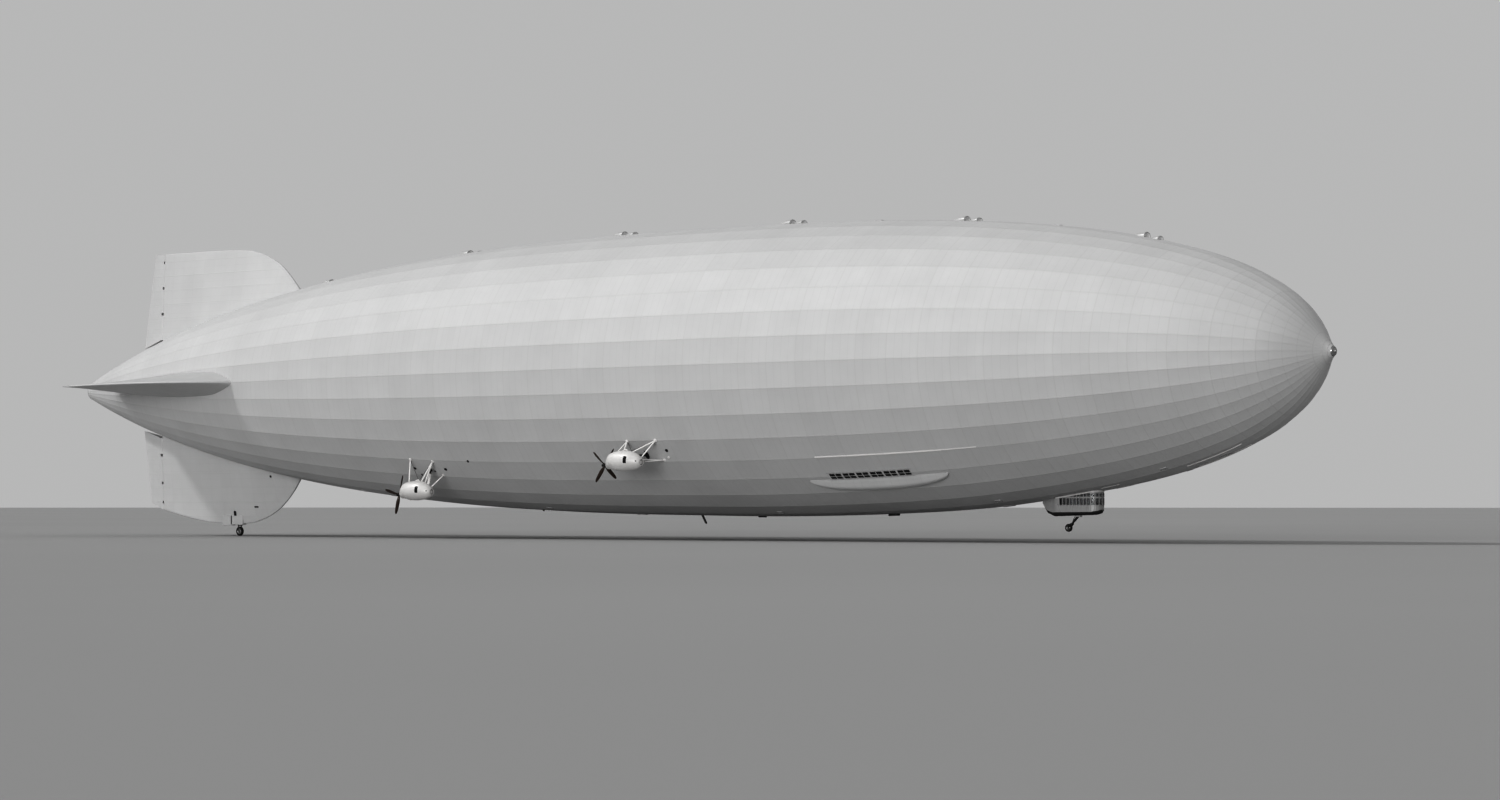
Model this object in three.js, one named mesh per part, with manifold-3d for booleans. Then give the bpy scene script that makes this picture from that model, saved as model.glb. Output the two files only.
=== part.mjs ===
// Rigid airship, a scale model at 1:10.
// X runs forward, Y to port and Z up. The origin lies on the hull's axis at its centre of lift.
// Lengths below are metres of the full-size ship. M turns them into millimetres of the model.
import * as THREE from "three";
import { mergeVertices } from "three/addons/utils/BufferGeometryUtils.js";
import Module from "manifold-3d";

const wasm = await Module();
wasm.setup();

const M = 100;
const FIT = 0.003; // gap between touching pieces, 0.3 mm on the model
const DEG = Math.PI / 180;

// Hull
const HULL = {
  sides: 36,
  radius: 20.6,
  stern: -132.7,
  nose: 111.55,
  wall: 0.1,
  tailPull: 51.7,
  tailFullness: 21.3,
  sternRadius: 1.5,
  midX: 15,
  midPullAft: 32.8,
  midPullForward: 95,
  nosePull: 4.7,
  noseFullness: 4.13,
};
const HULL_STEPS_AFT = 9;
const HULL_STEPS_FORWARD = 9;
const NOSE_RING = 0.62; // radius of the opening that the mooring cone fills
// Profile of the stern cap: columns are share of its length, share of the stern's radius
const STERN_CAP = { length: 0.6, inside: 0.4, shape: [[0, 1], [0.45, 0.8], [0.85, 0.4], [1, 0.1]] };
// Profile of the mooring cone: columns are distance ahead of the hull's nose, radius
const MOORING_CONE = { inside: 0.35, shape: [[0.003, 0.62], [0.16, 0.57], [0.26, 0.26], [0.35, 0.2], [0.45, 0.15]] };

// Tail surfaces: columns are x, reach from the axis, half thickness at the hull
const HINGE_X = -114.4;
const FIN_ROOT_AT_HINGE = 0.97;
const FIN_RIM_HALF = 0.12; // half thickness at a fin's rim, before that is rounded off
const UPPER_FIN = [
  [HINGE_X, 22.5, FIN_ROOT_AT_HINGE],
  [-105, 22.5, 1.57],
  [-98.5, 22.45, 1.84],
  [-93.5, 22.2, 1.93],
  [-90.5, 21.6, 1.92],
  [-87.6, 20.6, 1.84],
  [-85.2, 19.3, 1.7],
  [-83.3, 17.7, 1.48],
  [-81.5, 15.9, 1.12],
  [-80.3, 14.6, 0.6],
];
const LOWER_FIN = [
  [HINGE_X, 20.1, FIN_ROOT_AT_HINGE],
  [-107, 21.5, 1.44],
  [-102, 22.1, 1.72],
  [-96.5, 22.35, 1.89],
  [-92.5, 22.2, 1.93],
  [-89.6, 21.6, 1.9],
  [-86.5, 20.4, 1.79],
  [-84.1, 18.8, 1.6],
  [-82, 16.8, 1.22],
  [-80.3, 14.6, 0.6],
];
const FIN_DEPTH = 0.5; // how far a fin's drawn section reaches under the skin
const FIN_TIP_STEPS = 3;
const FIN_TIP_ROUND = 1.2; // height of a fin's rounded rim, as a share of its half thickness there
const RUDDER = {
  gap: 0.09,
  grooveLip: 0.6, // how far the fin's rear edge stands ahead of the hinge, as a share of that front's radius
  grooveMore: 0.6, // how far the groove is cut past the fin's rim
  inset: 0.02, // how much narrower than the fin its rounded front is
  levels: 3,
  rootReach: 8.15,
  rootRise: 0.24, // how much nearer the axis the root edge gets per metre aft
  nose: 8, // steps round the rounded front
  tailHalf: 0.05,
};
const UPPER_RUDDER = { reach: 22.45, clip: 0, trailRoot: -119.5, trailTip: -116.8, hinges: [12.5, 16.8, 21.1] };
const LOWER_RUDDER = { reach: 20.05, clip: 0.36, trailRoot: -119.5, trailTip: -117.6, hinges: [11, 15.6, 18.8] };
const HINGE = {
  pin: 0.06,
  bore: 0.064,
  eye: 0.13,
  armHalf: 0.08,
  tall: 0.3,
  notch: 0.42,
  notchBack: 0.21,
  reach: 1.1,
  sides: 12,
};

// Engine cars: columns are name, pair, x, y and z of the propeller's hub, turn of its first blade from upright
const ENGINE_CARS = [
  ["fore_port", "fore", 5.3, 20.4, -13.75, 20],
  ["fore_starboard", "fore", 5.3, -20.4, -13.75, 52],
  ["aft_port", "aft", -42.3, 14.8, -17.75, 33],
  ["aft_starboard", "aft", -42.3, -14.8, -17.75, -14],
];
// Car body: columns are distance ahead of the hub, radius
const CAR_BODY = [
  [0.45, 0.3],
  [0.75, 0.72],
  [1.35, 1.1],
  [2.25, 1.34],
  [3.2, 1.43],
  [4, 1.45],
  [5, 1.35],
  [5.9, 1.13],
  [6.5, 0.87],
  [6.85, 0.62],
  [7, 0.45],
];
const CAR = {
  sides: 16,
  wall: 0.12,
  grilleRadius: 0.37,
  grilleDepth: 0.2,
  lift: 0.6,
  liftStart: 0.7,
  liftEnd: 2.6,
  droop: 0.2,
  droopStart: 4.8,
  bore: 0.124,
};
const ENGINE = {
  long: 2.69,
  wide: 1.02,
  tall: 1.35,
  ahead: 3.6,
  above: 0.35,
  bearerAhead: [2.8, 4.4],
  bearerThick: 0.16,
};
const PROPELLER = { hub: 0.27, hubLength: 0.62, nose: 0.24, shaft: 0.12, clear: 0.06 };
// Blade: columns are radius, chord, thickness, pitch in degrees
const BLADE = [
  [0.15, 0.26, 0.2, 62],
  [0.5, 0.36, 0.15, 52],
  [1.2, 0.52, 0.1, 34],
  [2.3, 0.46, 0.055, 21],
  [3, 0.22, 0.03, 17],
];
// Struts: columns are pair, name, foot ahead of the hub, foot's angle below the horizontal, radius,
// then each leg's end, ahead of the hub and round the car in degrees from its top to inboard
const STRUTS = [
  ["fore", "rear_struts", 1.82, 30.3, 0.11, [2.5, -12], [3.6, 0]],
  ["fore", "front_struts", 7.26, 30.05, 0.11, [4.9, 5], [6.1, 60]],
  ["fore", "lower_struts", 7.33, 39.3, 0.09, [4.6, 80], [5.9, 95]],
  ["fore", "access_tube", 4.42, 36.8, 0.22, [4.3, 55]],
  ["aft", "rear_struts", 2.34, 40.25, 0.11, [2.4, -15]],
  ["aft", "front_struts", 7.19, 40.8, 0.11, [4.5, 5], [5.2, 15]],
  ["aft", "lower_struts", 7.42, 49.24, 0.09, [5.2, 78], [6.3, 38]],
  ["aft", "access_tube", 5.56, 45.5, 0.22, [5.75, 25]],
];
const STRUT = { sides: 6, depth: 0.25, footGrow: 0.17, footThick: 0.1, footSides: 8 }; // depth is under the car's skin

// Control car
const CABIN = {
  halfWidth: 1.25,
  bowCentre: 74.85,
  bowSteps: 12,
  rearX: 66.6,
  rearHalf: 0.3,
  flareX: 69.4,
  top: -15,
  wall: 0.1,
  sill: -19.3,
  head: -18.44,
  upperSill: -18.22,
  upperHead: -17.8,
  paneWidth: 0.44,
  panePitch: 0.56,
  firstPane: 70.3,
  sidePanes: 9,
  firstUpperPane: 3,
  bowPanes: [-66, -39.6, -13.2, 13.2, 39.6, 66],
  glass: 0.05,
  glassLap: 0.03,
  below: -22, // a level under the whole car, where its plan is drawn from
};
// Underside of the control car: columns are x, z, depth of the bumper under it
const CABIN_KEEL = [
  [66.6, -19.1, 0.26],
  [67.5, -20, 0.44],
  [68.6, -20.3, 0.52],
  [75, -20.25, 0.38],
  [75.85, -20.08, 0.32],
  [76.15, -19.85, 0.28],
];
const KEEL_FRONT = CABIN_KEEL.at(-1)[0];
const BUMPER = { halfWidth: 0.95, inset: 0.12 };

// Landing wheels: columns are name, x and z of the axle, tyre radius, tyre half width,
// then x and z of the leg's foot
const WHEELS = [
  ["forward", 70.65, -22.35, 0.52, 0.18, 72.2, -20.8],
  ["tail", -95.4, -23.55, 0.75, 0.22, -95.4, -22.5],
];
const WHEEL = { sides: 16, axle: 0.09, bore: 0.0945, rimShare: 0.62, hubHalf: 0.2, side: 0.08, arm: 0.07, armHalf: 0.11, crown: 0.12 };
const GEAR_PLATE = { long: 0.9, wide: 0.6, thick: 0.2 };
// Keel blocks under the lower fin: the docking pad aft, and the seat of the wheel's leg ahead of it
const TAIL_KEEL = { half: 0.42, top: -21, padFrom: -99.2, padTo: -96.9, padBottom: -22.6, seatTo: -94.3, seatBottom: -22.5 };

// Promenades on both sides: a band of windows in the hull's skin, and a long bulge right under it
const BAY = {
  from: 36.7,
  to: 58.3,
  power: 3.2,
  blunt: 0.15,
  bulge: 0.5,
  skin: 0.03,
  steps: 12,
  angles: [51.8, 54.2, 56.6, 58.2, 60],
  rise: [0, 0.6, 1, 0.85, 0],
};
const BAY_WINDOWS = { from: 40.2, to: 54, thick: 0.045, angles: [48.3, 50, 51.4], steps: 8 };

// Ventilation hoods along the ridge: x of the rear mouth of each pair
const HOODS = [-73.5, -42.2, -9.8, 22.7, 53.8, 83.4];
// Hoods of a pair: columns are mouth ahead of x, length, half width, height
const HOOD_PAIR = [
  [0, 2.3, 0.78, 0.62],
  [2.1, 1.7, 0.7, 0.56],
];
const HOOD = { wall: 0.08, sides: 14, rings: 8, sillFrom: -0.4, sillTo: 0.75, sillHalf: 0.74, sillTop: 0.04, sillBottom: -1.6 };

const silver = () => new THREE.MeshStandardMaterial({ color: 0xb9bab8, roughness: 0.48, metalness: 0.55 });
const paint = () => new THREE.MeshStandardMaterial({ color: 0xdcdcd6, roughness: 0.4, metalness: 0.1 });
const darkPaint = () => new THREE.MeshStandardMaterial({ color: 0x2c2d2e, roughness: 0.6, metalness: 0.1 });
const steel = () => new THREE.MeshStandardMaterial({ color: 0x8d9092, roughness: 0.4, metalness: 0.9 });
const iron = () => new THREE.MeshStandardMaterial({ color: 0x55585a, roughness: 0.6, metalness: 0.8 });
const wood = () => new THREE.MeshStandardMaterial({ color: 0x2e1f16, roughness: 0.45, metalness: 0 });
const rubber = () => new THREE.MeshStandardMaterial({ color: 0x1c1c1c, roughness: 0.9, metalness: 0 });
const glass = () => new THREE.MeshStandardMaterial({ color: 0x20262a, roughness: 0.1, metalness: 0 });

const ship = new THREE.Group();

function add(name, solid, material) {
  const mesh = new THREE.Mesh(geometryOf(solid), material);
  mesh.name = name;
  ship.add(mesh);
}

// Solids

function solidOf(geometry) {
  const bare = geometry.clone();
  bare.deleteAttribute("normal");
  bare.deleteAttribute("uv");
  const merged = mergeVertices(bare, 1e-4);
  const points = merged.attributes.position.array;
  const kept = [];
  const index = merged.index.array;
  for (let i = 0; i < index.length; i += 3) {
    const [a, b, c] = [index[i], index[i + 1], index[i + 2]];
    if (a !== b && b !== c && c !== a) kept.push(a, b, c);
  }
  if (signedVolume(points, kept) < 0) {
    for (let i = 0; i < kept.length; i += 3) [kept[i], kept[i + 1]] = [kept[i + 1], kept[i]];
  }
  return new wasm.Manifold(
    new wasm.Mesh({ numProp: 3, vertProperties: new Float32Array(points), triVerts: new Uint32Array(kept) }),
  );
}

function signedVolume(points, triangles) {
  const [a, b, c] = [new THREE.Vector3(), new THREE.Vector3(), new THREE.Vector3()];
  let sum = 0;
  for (let i = 0; i < triangles.length; i += 3) {
    a.fromArray(points, triangles[i] * 3);
    b.fromArray(points, triangles[i + 1] * 3);
    c.fromArray(points, triangles[i + 2] * 3);
    sum += a.dot(b.cross(c));
  }
  return sum;
}

function geometryOf(solid) {
  const mesh = solid.getMesh();
  const geometry = new THREE.BufferGeometry();
  geometry.setAttribute("position", new THREE.BufferAttribute(new Float32Array(mesh.vertProperties), 3));
  geometry.setIndex(new THREE.BufferAttribute(new Uint32Array(mesh.triVerts), 1));
  geometry.computeVertexNormals();
  return geometry;
}

const join = (...solids) => solids.reduce((all, next) => all.add(next));

// A solid turned about X, from profile points [x, radius] in metres
function turned(profile, sides, start = 0) {
  const points = profile.map(([x, r]) => new THREE.Vector2(r * M, x * M));
  const geometry = new THREE.LatheGeometry(points, sides, start);
  geometry.rotateZ(-Math.PI / 2);
  return solidOf(geometry);
}

function box(x, y, z, long, wide, tall) {
  const geometry = new THREE.BoxGeometry(long * M, wide * M, tall * M);
  return solidOf(geometry.translate(x * M, y * M, z * M));
}

// A box from its corners in x and z, as wide as twice the half width
function block(fromX, toX, half, lowZ, highZ) {
  return box((fromX + toX) / 2, 0, (lowZ + highZ) / 2, toX - fromX, 2 * half, highZ - lowZ);
}

// A round bar between two points in metres
function bar(from, to, radius, sides = 8) {
  const a = new THREE.Vector3(...from).multiplyScalar(M);
  const b = new THREE.Vector3(...to).multiplyScalar(M);
  const way = b.clone().sub(a);
  const geometry = new THREE.CylinderGeometry(radius * M, radius * M, way.length(), sides);
  const turn = new THREE.Quaternion().setFromUnitVectors(new THREE.Vector3(0, 1, 0), way.normalize());
  geometry.applyQuaternion(turn);
  geometry.translate((a.x + b.x) / 2, (a.y + b.y) / 2, (a.z + b.z) / 2);
  return solidOf(geometry);
}

// A skin through rings of equal point counts, closed round each ring and capped at both ends
function lofted(rings) {
  const count = rings[0].length;
  const points = rings.flat().flatMap(([x, y, z]) => [x * M, y * M, z * M]);
  const triangles = [];
  for (let i = 0; i + 1 < rings.length; i += 1) {
    for (let j = 0; j < count; j += 1) {
      const [a, b] = [i * count + j, i * count + ((j + 1) % count)];
      triangles.push(a, b, b + count, a, b + count, a + count);
    }
  }
  for (const end of [0, rings.length - 1]) {
    for (const face of THREE.ShapeUtils.triangulateShape(flatRing(rings[end]), [])) {
      const corners = face.sort((a, b) => a - b).map((k) => end * count + k);
      triangles.push(...(end === 0 ? corners.reverse() : corners));
    }
  }
  const geometry = new THREE.BufferGeometry();
  geometry.setAttribute("position", new THREE.BufferAttribute(new Float32Array(points), 3));
  geometry.setIndex(triangles);
  return solidOf(geometry);
}

// A ring laid flat along the axis that it faces most
function flatRing(ring) {
  const normal = new THREE.Vector3();
  ring.forEach((point, i) => {
    const next = ring[(i + 1) % ring.length];
    normal.add(new THREE.Vector3(...point).cross(new THREE.Vector3(...next)));
  });
  const sizes = normal.toArray().map(Math.abs);
  const drop = sizes.indexOf(Math.max(...sizes));
  const [u, v] = [0, 1, 2].filter((k) => k !== drop);
  return ring.map((point) => new THREE.Vector2(point[u], point[v]));
}

// A flat outline [u, v] in metres, thick from low to high along the axis it faces
function slab(outline, low, high, axis) {
  const shape = new THREE.Shape(outline.map(([u, v]) => new THREE.Vector2(u * M, v * M)));
  const geometry = new THREE.ExtrudeGeometry(shape, { depth: (high - low) * M, bevelEnabled: false });
  if (axis === "y") {
    geometry.rotateX(Math.PI / 2);
    geometry.translate(0, high * M, 0);
  } else {
    geometry.translate(0, 0, low * M);
  }
  return solidOf(geometry);
}

// Hull

function hullCurve() {
  const tail = new THREE.CubicBezierCurve(
    new THREE.Vector2(HULL.stern, HULL.sternRadius),
    new THREE.Vector2(HULL.stern + HULL.tailPull, HULL.tailFullness),
    new THREE.Vector2(HULL.midX - HULL.midPullAft, HULL.radius),
    new THREE.Vector2(HULL.midX, HULL.radius),
  );
  const nose = new THREE.CubicBezierCurve(
    new THREE.Vector2(HULL.midX, HULL.radius),
    new THREE.Vector2(HULL.midX + HULL.midPullForward, HULL.radius),
    new THREE.Vector2(HULL.nose - HULL.nosePull, HULL.noseFullness),
    new THREE.Vector2(HULL.nose, NOSE_RING),
  );
  return [tail, nose];
}

function hullProfile() {
  const [tail, nose] = hullCurve();
  const aft = tail.getPoints(HULL_STEPS_AFT);
  const forward = nose.getPoints(HULL_STEPS_FORWARD).slice(1);
  return [...aft, ...forward].map((p) => [p.x, p.y]);
}

const HULL_PROFILE = hullProfile();

function hullRadius(x) {
  const k = HULL_PROFILE.findIndex(([px]) => px > x);
  const [[xa, ra], [xb, rb]] = [HULL_PROFILE[k - 1], HULL_PROFILE[k]];
  return ra + ((rb - ra) * (x - xa)) / (xb - xa);
}

// Distance of the many-sided skin from the axis, at an angle in degrees
function skinRadius(x, angle) {
  const step = 360 / HULL.sides;
  const within = (((angle % step) + step) % step) - step / 2;
  return (hullRadius(x) * Math.cos((step / 2) * DEG)) / Math.cos(within * DEG);
}

function hullBody(offset) {
  const grown = HULL_PROFILE.map(([x, r]) => [x, r + offset]);
  const first = grown[0];
  const last = grown.at(-1);
  return turned([[first[0], 0], ...grown, [last[0], 0]], HULL.sides);
}

function envelope() {
  const inner = HULL_PROFILE.map(([x, r]) => [x, r - HULL.wall]).reverse();
  return turned([...HULL_PROFILE, ...inner, HULL_PROFILE[0]], HULL.sides);
}

const hullSeat = hullBody(FIT);

add("envelope", envelope(), silver());

// A turned end piece: a plug inside the skin's opening, then its own profile out to the axis
function endPiece(mouth, radius, way, inside, shape) {
  const plug = radius - HULL.wall - FIT;
  const outer = shape.map(([along, r]) => [mouth + way * along, r]);
  const end = outer.at(-1)[0];
  return turned([[mouth - way * inside, 0], [mouth - way * inside, plug], [outer[0][0], plug], ...outer, [end, 0]], HULL.sides / 2);
}

const sternShape = STERN_CAP.shape.map(([along, r]) => [FIT + along * STERN_CAP.length, r * HULL.sternRadius]);
add("stern_cap", endPiece(HULL.stern, HULL.sternRadius, -1, STERN_CAP.inside, sternShape), silver());
add("nose_mooring_cone", endPiece(HULL.nose, NOSE_RING, 1, MOORING_CONE.inside, MOORING_CONE.shape), steel());

// Fins, rudders and elevators, drawn pointing up and then turned about the hull's axis

// Half thickness of a fin at a height: it thins evenly from its root on the hull to its rim
function finHalf(root, rootHalf, reach, h) {
  return rootHalf + ((FIN_RIM_HALF - rootHalf) * (h - root)) / (reach - root);
}

// One slice of a fin across the ship, from inside the hull up one side and down the other
function finSlice([x, reach, rootHalf], rearShift) {
  const low = hullRadius(x) - FIN_DEPTH;
  const tipRound = Math.min(FIN_RIM_HALF * FIN_TIP_ROUND, reach - low - 0.1);
  const root = Math.min(hullRadius(x), (low + reach - tipRound) / 2);
  const shoulder = finHalf(root, rootHalf, reach, reach - tipRound);
  const side = [
    [low, rootHalf],
    [root, rootHalf],
    [reach - tipRound, shoulder],
  ];
  for (let i = 1; i <= FIN_TIP_STEPS; i += 1) {
    const turn = (i / FIN_TIP_STEPS) * (Math.PI / 2);
    side.push([reach - tipRound + tipRound * Math.sin(turn), shoulder * Math.cos(turn)]);
  }
  const up = side.map(([h, y]) => [x + rearShift(h), y, h]);
  const down = side.slice(0, -1).map(([h, y]) => [x + rearShift(h), -y, h]);
  return [...up, ...down.reverse()];
}

// Radius of a rudder's rounded front at a height, where its fin reaches that far at the hinge
const noseRadius = (h, reach) => finHalf(hullRadius(HINGE_X), FIN_ROOT_AT_HINGE, reach, h) - RUDDER.inset;

// The groove behind a fin that clears its rudder's rounded front
function hingeGroove(reach) {
  const low = RUDDER.rootReach - 2;
  const high = reach + RUDDER.grooveMore;
  const tall = (high - low) * M;
  const geometry = new THREE.CylinderGeometry(
    (noseRadius(high, reach) + RUDDER.gap) * M,
    (noseRadius(low, reach) + RUDDER.gap) * M,
    tall,
    4 * RUDDER.nose,
  );
  geometry.rotateX(Math.PI / 2);
  geometry.translate(HINGE_X * M, 0, ((low + high) / 2) * M);
  return solidOf(geometry);
}

function upright(x, radius, low, high, sides) {
  return bar([x, 0, low], [x, 0, high], radius, sides);
}

function finSolid(table, rudder) {
  const reach = table[0][1];
  const flat = () => 0;
  const rearEdge = (h) => RUDDER.grooveLip * noseRadius(h, reach);
  const rings = table.map((row, i) => finSlice(row, i === 0 ? rearEdge : flat));
  let fin = lofted(rings);
  fin = fin.subtract(hingeGroove(reach));
  for (const h of rudder.hinges) {
    const arm = box(HINGE_X + HINGE.reach / 2, 0, h, HINGE.reach, 2 * HINGE.armHalf, HINGE.tall);
    const eye = upright(HINGE_X, HINGE.eye, h - HINGE.tall / 2, h + HINGE.tall / 2, HINGE.sides);
    const bore = upright(HINGE_X, HINGE.bore, h - HINGE.tall, h + HINGE.tall, HINGE.sides);
    fin = join(fin, arm, eye).subtract(bore);
  }
  return fin.subtract(hullSeat);
}

// One level of a rudder: a rounded front on the hinge, and straight sides to the trailing edge
function rudderLevel(h, finReach, rise, trail) {
  const radius = noseRadius(h, finReach);
  const outline = [];
  for (let i = 0; i <= RUDDER.nose; i += 1) {
    const turn = (i / RUDDER.nose - 0.5) * Math.PI;
    outline.push([HINGE_X + radius * Math.cos(turn), radius * Math.sin(turn)]);
  }
  outline.push([trail, RUDDER.tailHalf], [trail, -RUDDER.tailHalf]);
  return outline.map(([x, y]) => [x, y, h - rise * Math.max(HINGE_X - x, 0)]);
}

function rudderSolid(spec, finReach) {
  const levels = [];
  for (let i = 0; i <= RUDDER.levels; i += 1) {
    const share = i / RUDDER.levels;
    const h = RUDDER.rootReach + (spec.reach - RUDDER.rootReach) * share;
    const rise = RUDDER.rootRise * (1 - share) + spec.clip * share;
    levels.push(rudderLevel(h, finReach, rise, spec.trailRoot + (spec.trailTip - spec.trailRoot) * share));
  }
  let rudder = lofted(levels);
  for (const h of spec.hinges) {
    const notch = block(HINGE_X - HINGE.notchBack, HINGE_X + HINGE.reach, 2, h - HINGE.notch / 2, h + HINGE.notch / 2);
    rudder = rudder.subtract(notch).add(upright(HINGE_X, HINGE.pin, h - HINGE.notch, h + HINGE.notch, HINGE.sides));
  }
  return rudder;
}

function tailKeel() {
  const { half, top, padFrom, padTo, padBottom, seatTo, seatBottom } = TAIL_KEEL;
  return [block(padFrom, padTo, half, padBottom, top), block(padTo - FIN_DEPTH, seatTo, half, seatBottom, top)];
}

// Columns are name, fin table, rudder or elevator name, its spec, turn about X in degrees
const TAIL = [
  ["upper_fin", UPPER_FIN, "upper_rudder", UPPER_RUDDER, 0],
  ["lower_fin", LOWER_FIN, "lower_rudder", LOWER_RUDDER, 180],
  ["port_fin", LOWER_FIN, "port_elevator", LOWER_RUDDER, -90],
  ["starboard_fin", LOWER_FIN, "starboard_elevator", LOWER_RUDDER, 90],
];
for (const [finName, table, rudderName, spec, turn] of TAIL) {
  let fin = finSolid(table, spec).rotate([turn, 0, 0]);
  if (finName === "lower_fin") fin = join(fin, ...tailKeel());
  add(finName, fin, silver());
  add(rudderName, rudderSolid(spec, table[0][1]).rotate([turn, 0, 0]), silver());
}

// Engine cars

// A smooth step from 0 to 1 between two places
function step(from, to, at) {
  const share = Math.min(Math.max((at - from) / (to - from), 0), 1);
  return share * share * (3 - 2 * share);
}

// Height of a car's middle line over the hub: the tail droops to the propeller, and the nose droops a little
function carLift(ahead) {
  return CAR.lift * step(CAR.liftStart, CAR.liftEnd, ahead) - CAR.droop * step(CAR.droopStart, CAR_BODY.at(-1)[0], ahead);
}

function carRadius(ahead) {
  const k = CAR_BODY.findIndex(([a]) => a > ahead);
  const [[from, low], [to, high]] = [CAR_BODY[k - 1], CAR_BODY[k]];
  return low + ((high - low) * (ahead - from)) / (to - from);
}

function carShape(profile) {
  const points = profile.map(([x, r]) => new THREE.Vector2(r * M, x * M));
  const geometry = new THREE.LatheGeometry(points, CAR.sides);
  geometry.rotateZ(-Math.PI / 2);
  const place = geometry.attributes.position;
  for (let i = 0; i < place.count; i += 1) place.setZ(i, place.getZ(i) + carLift(place.getX(i) / M) * M);
  return solidOf(geometry);
}

function carOuter(offset) {
  const first = CAR_BODY[0];
  const last = CAR_BODY.at(-1);
  return carShape([
    [first[0] - offset, 0],
    [first[0] - offset, first[1] + offset],
    ...CAR_BODY.map(([x, r]) => [x, r + offset]),
    [last[0] + offset, last[1] + offset],
    [last[0] + offset, 0],
  ]);
}

function carBody() {
  const rear = CAR_BODY[0];
  const front = CAR_BODY.at(-1);
  const inner = CAR_BODY.filter((_, i) => i % 2 === 0).slice(1, -1).map(([x, r]) => [x, r - CAR.wall]);
  const shell = carShape([
    [rear[0], CAR.bore],
    ...CAR_BODY,
    [front[0], CAR.grilleRadius],
    [front[0] - CAR.grilleDepth, CAR.grilleRadius],
    [front[0] - CAR.grilleDepth, 0.001],
    [front[0] - CAR.grilleDepth - CAR.wall, 0.001],
    ...inner.reverse(),
    [rear[0] + 0.2, CAR.bore],
    [rear[0], CAR.bore],
  ]);
  return shell;
}

function carBearers() {
  const under = ENGINE.above - ENGINE.tall / 2 - FIT;
  const bars = ENGINE.bearerAhead.map((ahead) =>
    box(ahead, 0, under - ENGINE.bearerThick / 2, ENGINE.bearerThick, 4, ENGINE.bearerThick),
  );
  return join(...bars).intersect(carOuter(-CAR.wall / 2));
}

function blade() {
  const rings = BLADE.map(([r, chord, thick, pitch]) => {
    const section = [
      [-0.5, 0],
      [-0.2, 0.42],
      [0.25, 0.5],
      [0.5, 0],
      [0.25, -0.3],
      [-0.2, -0.25],
    ];
    const [c, s] = [Math.cos(pitch * DEG), Math.sin(pitch * DEG)];
    return section.map(([u, v]) => [u * chord * s + v * thick * c, u * chord * c - v * thick * s, r]);
  });
  return lofted(rings);
}

function propeller(firstBlade) {
  const half = PROPELLER.hubLength / 2;
  const shaftEnd = ENGINE.ahead - ENGINE.long / 2 - PROPELLER.clear;
  const hub = turned(
    [
      [-half - PROPELLER.nose, 0],
      [-half - PROPELLER.nose, 0.06],
      [-half, PROPELLER.hub * 0.85],
      [-half + 0.1, PROPELLER.hub],
      [half - 0.05, PROPELLER.hub],
      [half, PROPELLER.hub * 0.8],
      [half, PROPELLER.shaft],
      [shaftEnd, PROPELLER.shaft],
      [shaftEnd, 0],
    ],
    12,
  );
  const blades = [0, 90, 180, 270].map((turn) => blade().rotate([firstBlade + turn, 0, 0]));
  return join(hub, ...blades);
}

// Struts from one foot on the hull to the car, before both are cut out of them
function strutSet(row, hubX, hubY, hubZ) {
  const [, , footAhead, below, radius, ...legs] = row;
  const side = Math.sign(hubY);
  const skin = skinRadius(hubX + footAhead, below);
  const out = [side * Math.cos(below * DEG), -Math.sin(below * DEG)];
  const onSkin = (more) => [hubX + footAhead, out[0] * (skin + more), out[1] * (skin + more)];
  const foot = bar(onSkin(-0.5), onSkin(STRUT.footThick), radius + STRUT.footGrow, STRUT.footSides);
  const bars = legs.map(([ahead, round]) => {
    const within = carRadius(ahead) - STRUT.depth;
    const y = hubY - side * within * Math.sin(round * DEG);
    const z = hubZ + carLift(ahead) + within * Math.cos(round * DEG);
    return bar(onSkin(0), [hubX + ahead, y, z], radius, STRUT.sides);
  });
  return join(foot, ...bars);
}

const carSeat = carOuter(FIT);
const carSolid = carBody().add(carBearers());
for (const [name, pair, x, y, z, firstBlade] of ENGINE_CARS) {
  const place = [x * M, y * M, z * M];
  add(`${name}_engine_car`, carSolid.translate(place), paint());
  const engine = box(ENGINE.ahead, 0, ENGINE.above, ENGINE.long, ENGINE.wide, ENGINE.tall);
  add(`${name}_engine_block`, engine.translate(place), iron());
  add(`${name}_propeller`, propeller(firstBlade).translate(place), wood());
  for (const row of STRUTS.filter(([forPair]) => forPair === pair)) {
    const struts = strutSet(row, x, y, z).subtract(hullSeat).subtract(carSeat.translate(place));
    add(`${name}_${row[1]}`, largest(struts), paint());
  }
}

// The biggest of the bodies that a cut leaves
function largest(solid) {
  const bodies = solid.decompose();
  return bodies.reduce((best, next) => (next.volume() > best.volume() ? next : best));
}

// Control car

function cabinPlan(inset) {
  const half = CABIN.halfWidth - inset;
  const bow = [];
  for (let i = 0; i <= CABIN.bowSteps; i += 1) {
    const turn = (i / CABIN.bowSteps - 0.5) * Math.PI;
    bow.push([CABIN.bowCentre + half * Math.cos(turn), half * Math.sin(turn)]);
  }
  const rearHalf = CABIN.rearHalf - inset;
  return [
    ...bow,
    [CABIN.flareX, half],
    [CABIN.rearX + inset, rearHalf],
    [CABIN.rearX + inset, -rearHalf],
    [CABIN.flareX, -half],
  ];
}

// The line of the car's underside moved down: by a share of the bumper's depth, and by a length
const keelLine = (share, drop) => CABIN_KEEL.map(([x, z, deep]) => [x, z - share * deep - drop]);

// All that lies above such a line
function aboveKeel(share, drop) {
  return slab([...keelLine(share, drop), [KEEL_FRONT, CABIN.top], [CABIN.rearX, CABIN.top]], -2, 2, "y");
}

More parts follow.
